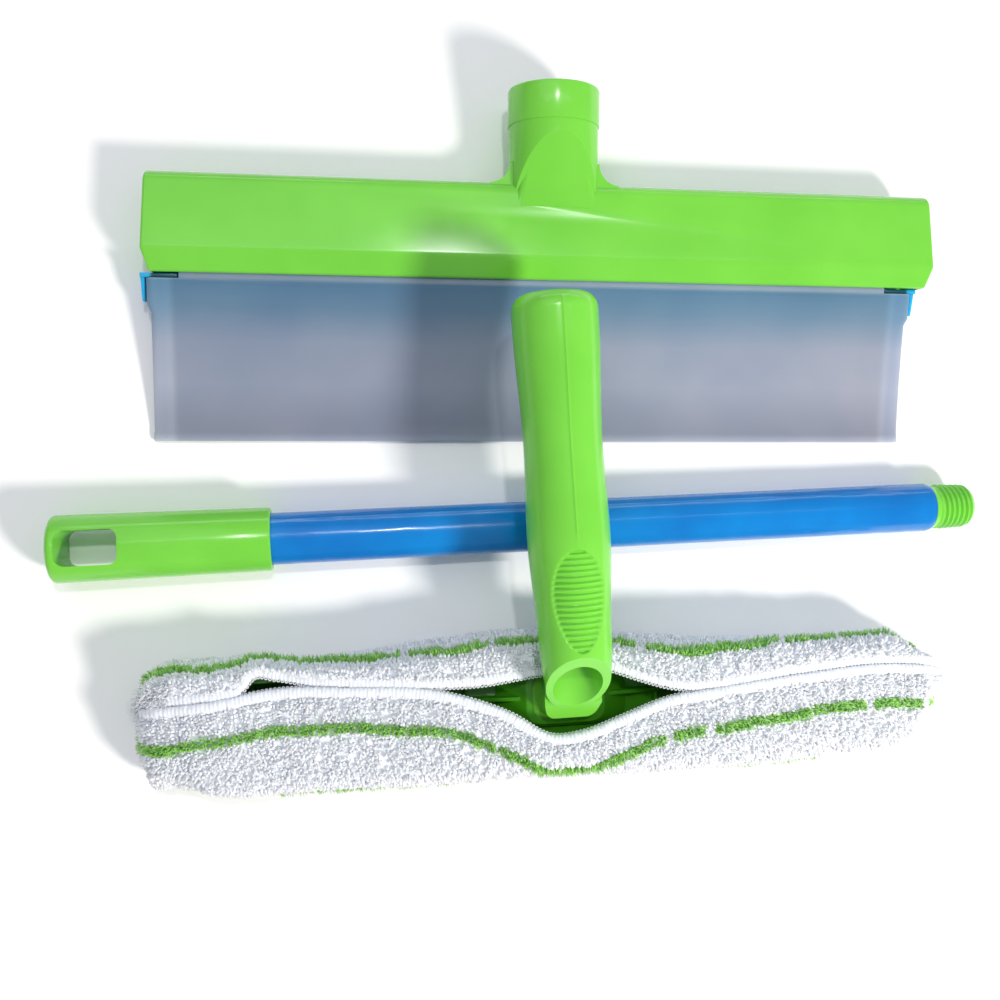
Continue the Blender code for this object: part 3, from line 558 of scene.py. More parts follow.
def points_of(piece):
    """The piece's points in millimetres."""
    flat = np.zeros(len(piece.data.vertices) * 3)
    piece.data.vertices.foreach_get("co", flat)
    return flat.reshape(-1, 3) / MM


def move_points(piece, points):
    piece.data.vertices.foreach_set("co", (points * MM).ravel())
    piece.data.update()


def reshaped(piece, radius_at, stations=None):
    """Gives a rod along Y the radius that radius_at(y, angle) says. Angle 0 is the top, +Z.

    stations are (share, y) pairs that spread its rings unevenly.
    """
    points = points_of(piece)
    y = points[:, 1]
    if stations:
        share = (y - y.min()) / (y.max() - y.min())
        y = np.interp(share, [s for s, _ in stations], [at for _, at in stations])
    angle = np.arctan2(points[:, 0], points[:, 2])
    radius = radius_at(y, angle)
    move_points(piece, np.stack([radius * np.sin(angle), y, radius * np.cos(angle)], axis=1))
    return piece


def unit(vectors):
    return vectors / np.maximum(np.linalg.norm(vectors, axis=-1, keepdims=True), 1e-9)


def smooth_step(value):
    value = np.clip(value, 0.0, 1.0)
    return value * value * (3 - 2 * value)


def thread(y, angle, start, end):
    """Height of a round thread, from 0 in the root to 1 on the crest, running out at both ends."""
    height = 0.5 - 0.5 * np.cos(2 * np.pi * (y / PITCH - angle / (2 * np.pi)))
    fade = np.clip(np.minimum((y - start) / PITCH, (end - y) / PITCH), 0.0, 1.0)
    return height * fade


def thread_cutter(name, low, high, start, end):
    """Tool from low to high that cuts the screw tip's thread, from start to end, into a bore."""
    root = TIP_R - THREAD_DEPTH + THREAD_PLAY
    cutter = rod(name, root, low, high, 72, (9, 9))
    return reshaped(cutter, lambda y, angle: root + THREAD_DEPTH * thread(y, angle, start, end))


# ------------ squeegee head

def socket_block():
    """The socket with its band, and the two bell-shaped flats that run down to the bar."""
    low_r = SOCKET_R - SOCKET_STEP
    run_out = ARCH_PEAK_Y - (low_r - 1.0) / math.tan(ARCH_SLOPE)
    socket = rod("socket", SOCKET_R, -SOCKET_BAND, 0, SOCKET_SIDES)
    pick(socket, "FACE", lambda middle, normal: normal.y < -0.9)
    bpy.ops.mesh.inset(thickness=SOCKET_STEP * MM)
    bpy.ops.mesh.extrude_region_move(
        TRANSFORM_OT_translate={"value": (0, (run_out + SOCKET_BAND) * MM, 0)},
    )
    close()
    bevelled(socket, lambda middle, along: middle.y > -0.1, SOCKET_EDGE, 4)
    for side in (1, -1):
        pick(socket, "FACE", lambda middle, normal: True)
        bpy.ops.mesh.bisect(
            plane_co=(0, ARCH_PEAK_Y * MM, side * low_r * MM),
            plane_no=(0, -math.sin(ARCH_SLOPE), side * math.cos(ARCH_SLOPE)),
            use_fill=True, clear_outer=True,
        )
        close()
    return socket


def socket_web():
    """Web between socket and bar, hollowed on both sides by a round fillet."""
    side = SOCKET_R - SOCKET_STEP
    reach = side + FILLET_R - FILLET_OVERLAP
    web = block("web", [
        (BAR_TOP_Y - WEB_SINK, reach, WEB_HALF),
        (BAR_TOP_Y + FILLET_R, reach, WEB_HALF),
    ])
    for way in (-1, 1):
        bpy.ops.mesh.primitive_cylinder_add(
            vertices=96, radius=FILLET_R * MM, depth=4 * WEB_HALF * MM,
            location=(way * (side + FILLET_R) * MM, (BAR_TOP_Y + FILLET_R) * MM, 0),
        )
        joined(web, started("fillet"), "DIFFERENCE")
    return web


def head_body():
    """Hollow bar with its crease, the socket and web it hangs on, and the socket's bore."""
    bar = block("head_body", [
        (BAR_TOP_Y, *BAR_TOP_HALF), (BAR_CREASE_Y, *BAR_CREASE_HALF), (BAR_MOUTH_Y, *BAR_MOUTH_HALF),
    ])

    def along_bar(y):
        return lambda middle, along: abs(middle.y - y) < 0.1 and abs(along.x) > 0.9

    bevelled(bar, along_bar(BAR_TOP_Y), BAR_CORNER, 8)
    bevelled(bar, along_bar(BAR_CREASE_Y), BAR_CREASE_CORNER, 4)
    softened(bar, BAR_EDGE, 4, 40)
    joined(bar, socket_block(), "UNION")
    joined(bar, socket_web(), "UNION")
    joined(bar, block("arch_run_out", ARCH_RUN_OUT, 3.0, 5), "UNION")
    mouth_x, mouth_z = BAR_MOUTH_HALF
    mouth_slope = (BAR_CREASE_HALF[1] - mouth_z) / (BAR_CREASE_Y - BAR_MOUTH_Y)
    hollow = block("hollow", [
        (BAR_TOP_Y - BAR_WALL, BAR_TOP_HALF[0] - BAR_WALL, BAR_TOP_HALF[1] - BAR_WALL),
        (BAR_CREASE_Y, BAR_CREASE_HALF[0] - BAR_WALL, BAR_CREASE_HALF[1] - BAR_WALL),
        (BAR_MOUTH_Y - 5.0, mouth_x - BAR_WALL, mouth_z - BAR_WALL - 2 * mouth_slope),
    ])
    joined(bar, hollow, "DIFFERENCE")
    joined(bar, rod("bore", SOCKET_BORE_R, ARCH_PEAK_Y, 5.0), "DIFFERENCE")
    joined(bar, rod("well", SOCKET_WELL_R, SOCKET_WELL_Y, 5.0), "DIFFERENCE")
    softened(bar, HEAD_EDGE, 2, 24)
    smoothed(bar, 30)
    return settled(bar, HEAD, "head", "green_plastic", GREEN, "head_shell")


def socket_bush():
    """Threaded bush in the socket, with a groove round its waist."""
    outer = SOCKET_BORE_R - FIT_GAP
    seat = ARCH_PEAK_Y + FIT_GAP
    top = seat + BUSH_LENGTH

    def outside(y, angle):
        from_end = np.minimum(y - seat, top - y)
        waist = smooth_step((from_end - BUSH_FLANGE) / BUSH_WAIST_RAMP)
        return outer - BUSH_WAIST * waist - BUSH_EDGE * (1 - smooth_step(from_end / BUSH_EDGE))

    bush = reshaped(rod("threaded_bush", outer, seat, top, 96, (9, 4)), outside)
    joined(bush, thread_cutter("bush_thread", seat - 2, top + 2, seat - 1.5, top + 1.5), "DIFFERENCE")
    smoothed(bush, 40)
    # the bush takes the green darkened with painted shade
    return settled(bush, HEAD, "head", "green_plastic_inner", GREEN_PAINTED_SHADE, "socket_bush")


# ------------ blade cartridge

def blade_half_thickness(drop):
    """Half thickness below the blade's head: hollow faces that run down to the lip's waist."""
    reach = BLADE_DROP - LIP_HEIGHT - BLADE_TOP_GAP
    share = min(1.0, max(0.0, drop / reach))
    return LIP_WAIST / 2 + (BLADE_THICK - LIP_WAIST) / 2 * (1 - share) ** BLADE_CURVE


def blade_stages(inset):
    """Stages of the blade down its drop, drawn in by inset."""
    waist = BLADE_DROP - BLADE_TOP_GAP - LIP_HEIGHT
    neck = BLADE_SHOULDER_DROP + 3.0
    longer = BLADE_HALF + BLADE_SHOULDER - inset
    stages = [
        (-BLADE_TOP_GAP - drop, longer, blade_half_thickness(drop) - inset)
        for drop in (0.0, BLADE_SHOULDER_DROP)
    ]
    for step in range(BLADE_STEPS + 1):
        drop = neck + (waist - neck) * step / BLADE_STEPS
        half = blade_half_thickness(drop) - inset
        if half > 0.4:
            stages.append((-BLADE_TOP_GAP - drop, BLADE_HALF - inset, half))
    return stages


def blade():
    """Hollow silicone blade: flange, shoulders, hollow faces and a thicker lip."""
    chamfer_y, chamfer_z = LIP_CHAMFER
    lip = [
        (-BLADE_DROP + LIP_HEIGHT - 1.4, BLADE_HALF + LIP_LONGER, LIP_THICK / 2),
        (-BLADE_DROP + chamfer_y, BLADE_HALF + LIP_LONGER, LIP_THICK / 2),
        (-BLADE_DROP, BLADE_HALF, LIP_THICK / 2 - chamfer_z),
    ]
    body = block("blade", blade_stages(0.0) + lip, BLADE_CORNER, 5)
    flange_x, flange_z = FLANGE_HALF
    flange = block("flange", [
        (FLANGE_TOP, flange_x, flange_z),
        (-BLADE_TOP_GAP - 2, flange_x, flange_z),
    ], 0.5, 2)
    joined(body, flange, "UNION")
    slot_x = flange_x + 4
    slot_z = flange_z - BLADE_WALL
    slot = block("slot", [
        (FLANGE_TOP + 3, slot_x, slot_z),
        (-BLADE_TOP_GAP - 3, slot_x, slot_z),
    ])
    joined(body, slot, "DIFFERENCE")
    top_stage, *lower_stages = blade_stages(BLADE_WALL)
    pocket = block("pocket", [(-BLADE_TOP_GAP + 0.3, *top_stage[1:])] + lower_stages, 2.0, 3)
    joined(body, pocket, "DIFFERENCE")
    smoothed(body, 30)
    return settled(body, CARTRIDGE, "blade_cartridge", "frosted_silicone", SILICONE, "silicone_blade")


def refined_copy(node, name, width, slot, material, body):
    """A merged copy of a CAD piece with its hard edges broken."""
    source = frame["nodes"][node]
    piece = linked(name, source.data.copy())
    piece.data.name = name
    piece.matrix_world = source.matrix_world
    softened(piece, width, 2, 30)
    smoothed(piece, 30)
    return settled(piece, Matrix.Identity(4), body, slot, material, node)


# ------------ pole

def pole_grip():
    """Hand grip: closed end, hang slot right through it, and the bore that takes the tube."""
    bpy.ops.mesh.primitive_cone_add(
        vertices=128, radius1=GRIP_END_R * MM, radius2=GRIP_MOUTH_R * MM, depth=GRIP_LENGTH * MM,
        location=(0, GRIP_LENGTH / 2 * MM, 0), rotation=(-math.pi / 2, 0, 0),
    )
    grip = started("grip")
    bevelled(grip, lambda middle, along: middle.y < 0.1, GRIP_END_ROUND, 6)
    bevelled(grip, lambda middle, along: middle.y > GRIP_LENGTH - 0.1, GRIP_MOUTH_ROUND, 3)
    bpy.ops.mesh.primitive_cube_add(
        size=1.0, location=(0, (SLOT_START + SLOT_LENGTH / 2) * MM, 0),
        scale=(SLOT_WIDTH * MM, SLOT_LENGTH * MM, 40 * MM),
    )
    slot = started("hang_slot")
    bevelled(slot, lambda middle, along: abs(along.z) > 0.9, SLOT_CORNER, 6)
    joined(grip, slot, "DIFFERENCE")
    bore = rod("tube_bore", FILM_R + FIT_GAP, GRIP_BORE_START, GRIP_LENGTH + 5, 128)
    joined(grip, bore, "DIFFERENCE")
    softened(grip, GRIP_EDGE, 3, 40)
    smoothed(grip, 35)
    return settled(grip, POLE_ALONG_Y, "pole", "green_plastic", GREEN, "pole_grip")


def pole_film():
    """Film shrunk on the tube: a lap seam along it, and slack wrinkles towards the screw tip."""
    start = GRIP_BORE_START + FIT_GAP
    film = rod("film", FILM_R, start, FILM_END, 112, (14, 14))
    pick(film, "FACE", lambda middle, normal: abs(normal.y) > 0.9)
    bpy.ops.mesh.delete(type="ONLY_FACE")
    close()
    points = points_of(film)
    ripple = np.array([noise.noise(Vector((x * 0.16, y * 0.035, z * 0.16))) for x, y, z in points])
    creases = np.array([noise.noise(Vector((x * 0.35, y * 0.10 + 7, z * 0.35))) for x, y, z in points])

    def surface(y, angle):
        slack = 0.05 + 0.22 * smooth_step((y - 300) / 60) + 0.10 * smooth_step((130 - y) / 40)
        seam = np.exp(-((angle - FILM_SEAM_ANGLE) / FILM_SEAM_HALF) ** 2)
        rolled_end = smooth_step((y - FILM_END + FILM_ROLLED_END) / FILM_ROLLED_END)
        wrinkled = FILM_R - 0.05 + 0.5 * ripple * slack + creases * slack * 0.6
        over = np.minimum(wrinkled + FILM_SEAM_HEIGHT * seam, FILM_R + FILM_OVER)
        return over - 0.5 * rolled_end ** 2

    reshaped(film, surface)
    modified(film, "SOLIDIFY", thickness=FILM_THICK * MM, offset=-1.0)
    smoothed(film, 40)
    return settled(film, POLE_ALONG_Y, "pole", "blue_film", FILM, "pole_film")


def screw_tip():
    """Screw tip: a spigot in the tube, a short plain stretch and a round thread on a slight taper."""
    shoulder = FILM_END + FIT_GAP
    spigot_end = shoulder - TIP_SPIGOT_LENGTH
    round_y, round_r = TIP_ROUND
    tip = rod("screw_tip", TIP_R, shoulder - 2.0, POLE_LENGTH, 96, (9, 13))

    def surface(y, angle):
        along = np.clip(y - shoulder, 0, None)
        root = TIP_R - THREAD_DEPTH - TIP_TAPER * along / (POLE_LENGTH - shoulder)
        plain = np.clip(1 - along / TIP_PLAIN, 0, 1) * THREAD_DEPTH * 0.8
        crest = thread(y, angle, shoulder + 2.0, POLE_LENGTH - 0.6) * THREAD_DEPTH
        past = np.clip(y - POLE_LENGTH + round_y, 0, round_y) / round_y
        end = round_r * (1 - np.sqrt(np.clip(1 - past ** 2, 0, 1)))
        return np.where(y < shoulder, TIP_SPIGOT_R, root + plain + crest - end)

    reshaped(tip, surface)
    joined(tip, rod("spigot", TIP_SPIGOT_R - 0.02, spigot_end, shoulder - 1.0, 96), "UNION")
    smoothed(tip, 50)
    return settled(tip, POLE_ALONG_Y, "pole", "green_plastic", GREEN, "thread_plug")


# ------------ washer handle

def handle_radius(y):
    """Radius through the neck, the swell, the waist and the butt."""
    radius = np.full_like(y, HANDLE_RADII[-1][1])
    for (y0, r0), (y1, r1) in zip(HANDLE_RADII, HANDLE_RADII[1:]):
        inside = (y >= y0) & (y <= y1)
        radius = np.where(inside, r0 + (r1 - r0) * smooth_step((y - y0) / (y1 - y0)), radius)
    return radius


def handle_surface(y, angle):
    """Handle with its rounded butt, its mould line and the ribbed thumb rest on top."""
    radius = handle_radius(y)
    over = np.clip((y - HANDLE_LENGTH + HANDLE_BUTT_ROUND) / HANDLE_BUTT_ROUND, 0, 1)
    radius = radius - HANDLE_BUTT_ROUND * (1 - np.sqrt(1 - over ** 2))
    across = radius * np.sin(angle)
    along = (y - THUMB_Y) / THUMB_HALF[1]
    half = THUMB_HALF[0] * np.sqrt(np.clip(1 - along ** 2, 0, 1)) * (1 + THUMB_FLARE * along)
    inside = (np.abs(angle) < 1.2) * smooth_step((half - np.abs(across)) / THUMB_EDGE)
    wave = 2 * np.pi * (y - THUMB_Y) / THUMB_RIB_PITCH
    rib = 0.5 + 0.5 * np.cos(wave - 0.5 * np.sin(wave))
    radius = radius - inside * (THUMB_DEPTH - THUMB_RIB * rib ** 1.6)
    line = np.exp(-(radius * angle / MOULD_LINE_HALF) ** 2)
    line = line * smooth_step((y - THUMB_Y - THUMB_HALF[1] - 2) / 4)
    return radius + MOULD_LINE_HEIGHT * line * (y < HANDLE_LENGTH - 3)


def handle_neck():
    """Neck that flares to the foot, with the key that drops into the tray's seat."""
    key = block("key", [(NECK_FOOT_Z - KEY_DEPTH, *KEY_HALF), (NECK_FOOT_Z, *KEY_HALF)], 1.5, 3)
    stages = [(NECK_FOOT_Z + rise, *half) for rise, *half in NECK_STAGES]
    neck = block("neck", stages, NECK_CORNER, 6)
    joined(neck, key, "UNION")
    neck.data.transform(Matrix.Rotation(math.pi / 2, 4, "X"))
    neck.data.transform(GRIP.inverted() @ WASHER @ shifted(0, NECK_Y, 0))
    return neck


def washer_handle():
    """Hollow handle with its neck, cut slantwise over the tray and threaded at the butt."""
    handle = rod("handle", 16.0, HANDLE_NEAR, HANDLE_LENGTH, 176, (14, 14))
    reshaped(handle, handle_surface, HANDLE_STATIONS)
    joined(handle, handle_neck(), "UNION")
    pick(handle, "FACE", lambda middle, normal: True)
    bpy.ops.mesh.bisect(
        plane_co=(0, 0, 0), plane_no=(0, -math.cos(HANDLE_CUT), math.sin(HANDLE_CUT)),
        use_fill=True, clear_outer=True,
    )
    close()
    bore = rod("handle_bore", HANDLE_BORE_R, HANDLE_NEAR - 10, HANDLE_BORE_END, 96)
    joined(handle, bore, "DIFFERENCE")
    cutter = thread_cutter(
        "butt_thread", BUTT_THREAD_Y, HANDLE_LENGTH + 2, BUTT_THREAD_Y, HANDLE_LENGTH + 1.5,
    )
    joined(handle, cutter, "DIFFERENCE")
    smoothed(handle, 40)
    return settled(handle, GRIP, "washer", "green_plastic", GREEN, "washer_handle")


# ------------ washer sleeve

# Outlines and hems are (x along the tray, y across it), out to the pile's tips, as the sleeve lies
# round the tray. The height is (x, z).
SLEEVE_ENDS = (-177.5, 175.5)
NEAR_SIDE = (
    (-177.5, -4), (-174, -17), (-162, -23), (-140, -25.5), (-100, -27), (-40, -28.5), (0, -30),
    (60, -30.5), (105, -29.5), (130, -27), (146, -23), (158, -16), (170, -4), (175.5, 3),
)
FAR_SIDE = (
    (-177.5, 18), (-172, 25), (-150, 29.5), (-130, 30), (-108, 27.5), (-85, 29.5), (-50, 33), (-15, 34.5),
    (20, 31.5), (60, 27.5), (105, 25.5), (133, 24.5), (150, 21), (165, 15), (175.5, 7),
)
NEAR_HEM = (
    (-177.5, 11), (-150, 12.5), (-118, 16.5), (-90, 15.2), (-62, 13), (-46, 9), (-26, 1), (-9, -9),
    (5, -8.4), (22, -3), (42, 3.4), (60, 5.6), (100, 9.5), (146, 11), (165, 8.5), (175.5, 5),
)
FAR_HEM = (
    (-177.5, 12.4), (-150, 13.9), (-135, 16.2), (-130, 22), (-121, 21.4), (-108, 18.6), (-92, 16.7),
    (-62, 14.4), (-38, 14.0), (-15, 16.5), (16, 17.5), (30, 12.5), (42, 8.6), (52, 7.0), (60, 7.0),
    (100, 10.9), (146, 12.4), (165, 9.9), (175.5, 6.4),
)
SLEEVE_HEIGHT = (
    (-177.5, 20), (-172, 27), (-160, 31), (-120, 32.5), (0, 33), (120, 32), (150, 29), (168, 23),
    (175.5, 17),
)
TRAY_HALF = (160.0, 21.0)
TRAY_CORNER = 19.0
OVER_RIM_Z = 28.6              # lowest the cloth's top may lie over the tray's rim
NO_TRAY = -10.0                # half width past the tray's ends, where nothing holds the cloth out
BACKING_THICK = 1.4
PILE_HEIGHT = 2.2
CLOTH_OVER_TRAY = 2.0          # outside of the cloth's back to the tray
SLEEVE_ROUND = 7.0
HEM_GAP = 0.9                  # least gap between the hems
END_DRAWN_IN = 6.0             # length over which the sleeve's ends close
END_MIDDLE_Z = 13.0
END_OPEN_SHARE = 0.25
GRID_STEP = 1.25
GRID_COLUMNS = 140
SOLE_Z = 0.6
# Clumps of the pile: (height, turns per mm along, turns per mm round, place in the noise)
CLUMPS = ((0.7, 0.045, 0.06, 0), (0.75, 0.16, 0.17, 5), (0.35, 0.42, 0.42, 9))
GATHER_HEIGHT = 0.45
GATHER_FROM_HEM = 8.0
GATHER_SPREAD = 6.0

HEM_STRIPE = 16.0              # hem to the middle of the first green stripe, over the pile
LOW_STRIPE = 50.0
STRIPE_HALF = 1.9
STRIPE_WANDER = 1.6
STRIPE_GAPS = -0.45            # how low the noise has to be for a gap
PILE_FROM_HEM = 3.2
SOLE_PILE_Z = 3.5
SHORT_PILE = {
    "count": 42000, "length": 1.9, "width": 0.80, "sides": 4, "stray": 0.15, "clumping": 0.5, "comb": 0.1,
}
STRIPE_PILE = {
    "count": 120000, "length": 3.2, "width": 0.45, "sides": 3, "stray": 0.22, "clumping": 0.9, "comb": 0.15,
}
THREAD_ENDS = {
    "count": 60000, "length": 4.2, "width": 0.32, "sides": 3, "stray": 0.8, "clumping": 1.2, "comb": 0.0,
}

LOOSE_CORNER_X = -163.0
LOOSE_CORNER_RUN = 9.0
LOOSE_CORNER_Z = 12.0

OVERLOCK_PITCH = 1.6
ROLL_STEPS = 5                 # along the hem, to a stitch
ROLL_SIDES = 14
ROLL_FROM_EDGE = 1.5
ROLL_LIFT = 0.5
ROLL_RIDGE = 0.16
ROLL_UNEVEN = 0.45
LOOP_STEPS = 7
LOOP_SIDES = 5
LOOP_HALF = (0.55, 0.75)       # along the hem and out from it
THREAD_R = 0.3
UP = np.array([0, 0, 1.0])


def line_at(line, x):
    """Smooth height of a listed line at x."""
    xs, ys = np.array(line, float).T
    slope = np.gradient(ys, xs)
    at = np.clip(np.searchsorted(xs, x) - 1, 0, len(xs) - 2)
    width = xs[at + 1] - xs[at]
    t = np.clip((x - xs[at]) / width, 0, 1)
    a, b = ys[at], ys[at + 1]
    m, n = slope[at] * width, slope[at + 1] * width
    return (2 * t ** 3 - 3 * t ** 2 + 1) * a + (t ** 3 - 2 * t ** 2 + t) * m \
        + (-2 * t ** 3 + 3 * t ** 2) * b + (t ** 3 - t ** 2) * n


def through(points, count):
    """count points, evenly spaced, on a smooth curve through the given ones."""
    points = np.array(points, float)
    padded = np.vstack([2 * points[0] - points[1], points, 2 * points[-1] - points[-2]])
    fine = []
    for i in range(len(points) - 1):
        p0, p1, p2, p3 = padded[i:i + 4]
        for t in np.arange(0, 1, 0.1):
            fine.append(0.5 * (2 * p1 + (p2 - p0) * t + (2 * p0 - 5 * p1 + 4 * p2 - p3) * t * t
                               + (3 * p1 - p0 - 3 * p2 + p3) * t ** 3))
    fine = np.array(fine + [points[-1]])
    run = np.concatenate([[0], np.cumsum(np.linalg.norm(np.diff(fine, axis=0), axis=1))])
    at = np.linspace(0, run[-1], count)
    return np.stack([np.interp(at, run, fine[:, k]) for k in range(fine.shape[1])], axis=1)


def tray_half_width(x):
    """Half the tray's width at x, through its round corners."""
    if abs(x) > TRAY_HALF[0]:
        return NO_TRAY
    past = max(abs(x) - TRAY_HALF[0] + TRAY_CORNER, 0.0)
    return TRAY_HALF[1] - TRAY_CORNER + math.sqrt(TRAY_CORNER ** 2 - past ** 2)


def sleeve_section(x):
    """Control points (y, z) round the tray at x, from the far hem down, under and up to the near hem."""
    near = line_at(NEAR_SIDE, x) + PILE_HEIGHT
    far = line_at(FAR_SIDE, x) - PILE_HEIGHT
    top = line_at(SLEEVE_HEIGHT, x) - PILE_HEIGHT / 2
    near_hem = line_at(NEAR_HEM, x)
    clear = tray_half_width(x) + CLOTH_OVER_TRAY
    far_hem = max(line_at(FAR_HEM, x), near_hem + HEM_GAP)
    far = max(far, far_hem + 2.0, clear)
    near = min(near, near_hem - 3.0, -clear)
    top = max(top, OVER_RIM_Z - max(0.0, abs(x) - TRAY_HALF[0]) * 0.8)
    width = far - near
    foot = min(2.5, 0.1 * width)
    round_far = min(SLEEVE_ROUND, (far - far_hem) / 2, 0.3 * width)
    round_near = min(SLEEVE_ROUND, (near_hem - near) / 2, 0.3 * width)
    far_shoulder = max(far - round_far * 0.6, clear - 0.3)
    near_shoulder = min(near + round_near * 0.7, 0.3 - clear)
    return [
        (far_hem, top - 0.6), ((far_hem + far) / 2, top + 0.6), (far_shoulder, top - 3.4),
        (far, top * 0.5), (far - foot, 4.0), (far - foot - round_far, SOLE_Z),
        ((near + far) / 2, SOLE_Z),
        (near + foot + round_near, SOLE_Z), (near + foot, 4.0), (near, top * 0.46),
        (near_shoulder, top - 3.4), ((near_hem + near) / 2, top + 0.2), (near_hem, top - 0.2),
    ]


class Sleeve:
    """The sleeve's surface as a grid: rows along the tray, columns from the far hem to the near hem."""

    def __init__(self):
        rows = int((SLEEVE_ENDS[1] - SLEEVE_ENDS[0]) / GRID_STEP)
        grid = np.zeros((rows, GRID_COLUMNS, 3))
        for i, x in enumerate(np.linspace(*SLEEVE_ENDS, rows)):
            ring = through(sleeve_section(x), GRID_COLUMNS)
            from_end = min(x - SLEEVE_ENDS[0], SLEEVE_ENDS[1] - x)
            draw_in = math.sqrt(1 - max(0.0, 1 - from_end / END_DRAWN_IN) ** 2)
            middle = np.array([ring[:, 0].mean(), END_MIDDLE_Z])
            ring = middle + (ring - middle) * (END_OPEN_SHARE + (1 - END_OPEN_SHARE) * draw_in)
            grid[i, :, 0] = x
            grid[i, :, 1:] = ring
        self.smooth = grid
        self.normals = self.normals_of(grid)
        self.run = self.run_of(grid)
        self.grid = self.lumped(grid)

    @staticmethod
    def normals_of(grid):
        return unit(np.cross(np.gradient(grid, axis=0), np.gradient(grid, axis=1)))

    @staticmethod
    def run_of(grid):
        """Distance over the cloth to the closer hem."""
        step = np.linalg.norm(np.diff(grid, axis=1), axis=2)
        far = np.concatenate([np.zeros((len(grid), 1)), np.cumsum(step, axis=1)], axis=1)
        near = far[:, -1:] - far
        return np.minimum(far, near)

    def lumped(self, grid):
        """Pile that lies in soft clumps, and cross gathers beside the hems."""
        clump = np.zeros(grid.shape[:2])
        for i, row in enumerate(grid):
            for j, (x, y, z) in enumerate(row):
                clump[i, j] = sum(
                    height * noise.noise(Vector((x * along, y * across, z * across + start)))
                    for height, along, across, start in CLUMPS
                )
        gather = GATHER_HEIGHT * np.sin(grid[:, :, 0] * 0.95 + 2 * np.sin(grid[:, :, 0] * 0.13))
        gather = gather * np.exp(-((self.run - GATHER_FROM_HEM) / GATHER_SPREAD) ** 2)
        lift = (clump + gather) * smooth_step(grid[:, :, 2] / 6)
        moved = grid + self.normals * lift[:, :, None]
        moved[:, :, 2] = np.maximum(moved[:, :, 2], SOLE_Z * 0.8)
        return moved

    def at(self, u, v):
        """Points, normals, cross directions and distance to the hem at grid places u, v."""
        i = np.minimum(u.astype(int), self.grid.shape[0] - 2)
        j = np.minimum(v.astype(int), self.grid.shape[1] - 2)
        a = (u - i)[:, None]
        b = (v - j)[:, None]

        def mixed(field):
            return (field[i, j] * (1 - a) * (1 - b) + field[i + 1, j] * a * (1 - b)
                    + field[i, j + 1] * (1 - a) * b + field[i + 1, j + 1] * a * b)

        across = unit(self.grid[i, j + 1] - self.grid[i, j])
        return mixed(self.grid), mixed(self.normals), across, mixed(self.run[:, :, None])[:, 0]


def mesh_piece(name, points, faces):
    mesh = bpy.data.meshes.new(name)
    mesh.from_pydata((points * MM).tolist(), [], faces.tolist() if hasattr(faces, "tolist") else faces)
    mesh.shade_smooth()
    return linked(name, mesh)


def grid_faces(rows, columns):
    i, j = np.meshgrid(np.arange(rows - 1), np.arange(columns - 1), indexing="ij")
    corner = (i * columns + j).ravel()
    return np.stack([corner, corner + columns, corner + columns + 1, corner + 1], axis=1)


def sleeve_cloth(sleeve):
    rows, columns = sleeve.grid.shape[:2]
    cloth = mesh_piece("sleeve_cloth", sleeve.grid.reshape(-1, 3), grid_faces(rows, columns))
    modified(cloth, "SOLIDIFY", thickness=BACKING_THICK * MM, offset=-1.0)
    return settled(cloth, WASHER, "washer", "microfibre", BACKING, "washer_sleeve")


def tufts(name, sleeve, seed, wanted, material, count, length, width, sides, stray, clumping, comb):
    """Small bent tufts of pile, where wanted(point, distance to the hem, on the near side) says."""
    chance = np.random.default_rng(seed)
    rows, columns = sleeve.grid.shape[:2]
    u = chance.random(count) * (rows - 1.001)
    v = chance.random(count) * (columns - 1.001)
    point, normal, across, run = sleeve.at(u, v)
    keep = wanted(point, run, v > columns / 2)
    point, normal, across = point[keep], normal[keep], across[keep]
    count = len(point)
    side = np.cross(normal, across)
    clump = np.array([noise.noise_vector(Vector(place) * 0.28) for place in point])
    drift = chance.normal(0, stray, (count, 3)) + clumping * clump
    tall = length * (0.7 + 0.6 * chance.random((count, 1)))
    wide = width * (0.75 + 0.5 * chance.random((count, 1)))
    lean = unit(normal - comb * UP + drift)
    middle = point + normal * tall * 0.5 + lean * tall * 0.1
    tip = point + (normal * 0.45 + lean * 0.65) * tall
    turn = chance.random((count, 1)) * 2 * np.pi
    rings = []
    for centre, radius in ((point - normal * 0.4, wide), (middle, wide * 0.9)):
        for k in range(sides):
            angle = turn + 2 * np.pi * k / sides
            rings.append(centre + radius * (np.cos(angle) * across + np.sin(angle) * side))
    points = np.stack(rings + [tip], axis=1).reshape(-1, 3)
    points[:, 2] = np.maximum(points[:, 2], 0.15)
    start = (np.arange(count) * (2 * sides + 1))[:, None]
    faces = []
    for k in range(sides):
        n = (k + 1) % sides
        faces.append(start + np.array([[k, n, sides + n]]))
        faces.append(start + np.array([[k, sides + n, sides + k]]))
        faces.append(start + np.array([[sides + k, sides + n, 2 * sides]]))
    piece = mesh_piece(name, points, np.concatenate(faces))
    return settled(piece, WASHER, "washer", "microfibre", material)


def hem_path(sleeve, column, per_stitch):
    """Points along the sleeve's edge, so many to a stitch, and the way along it."""
    edge = sleeve.smooth[:, column]
    path = through(edge[2:-2], int(len(edge) * GRID_STEP / OVERLOCK_PITCH) * per_stitch)
    return path, unit(np.gradient(path, axis=0))


def outward(piece):
    """Turns all its faces outwards."""
    open_whole(piece)
    bpy.ops.mesh.normals_make_consistent(inside=False)
    close()
    return piece


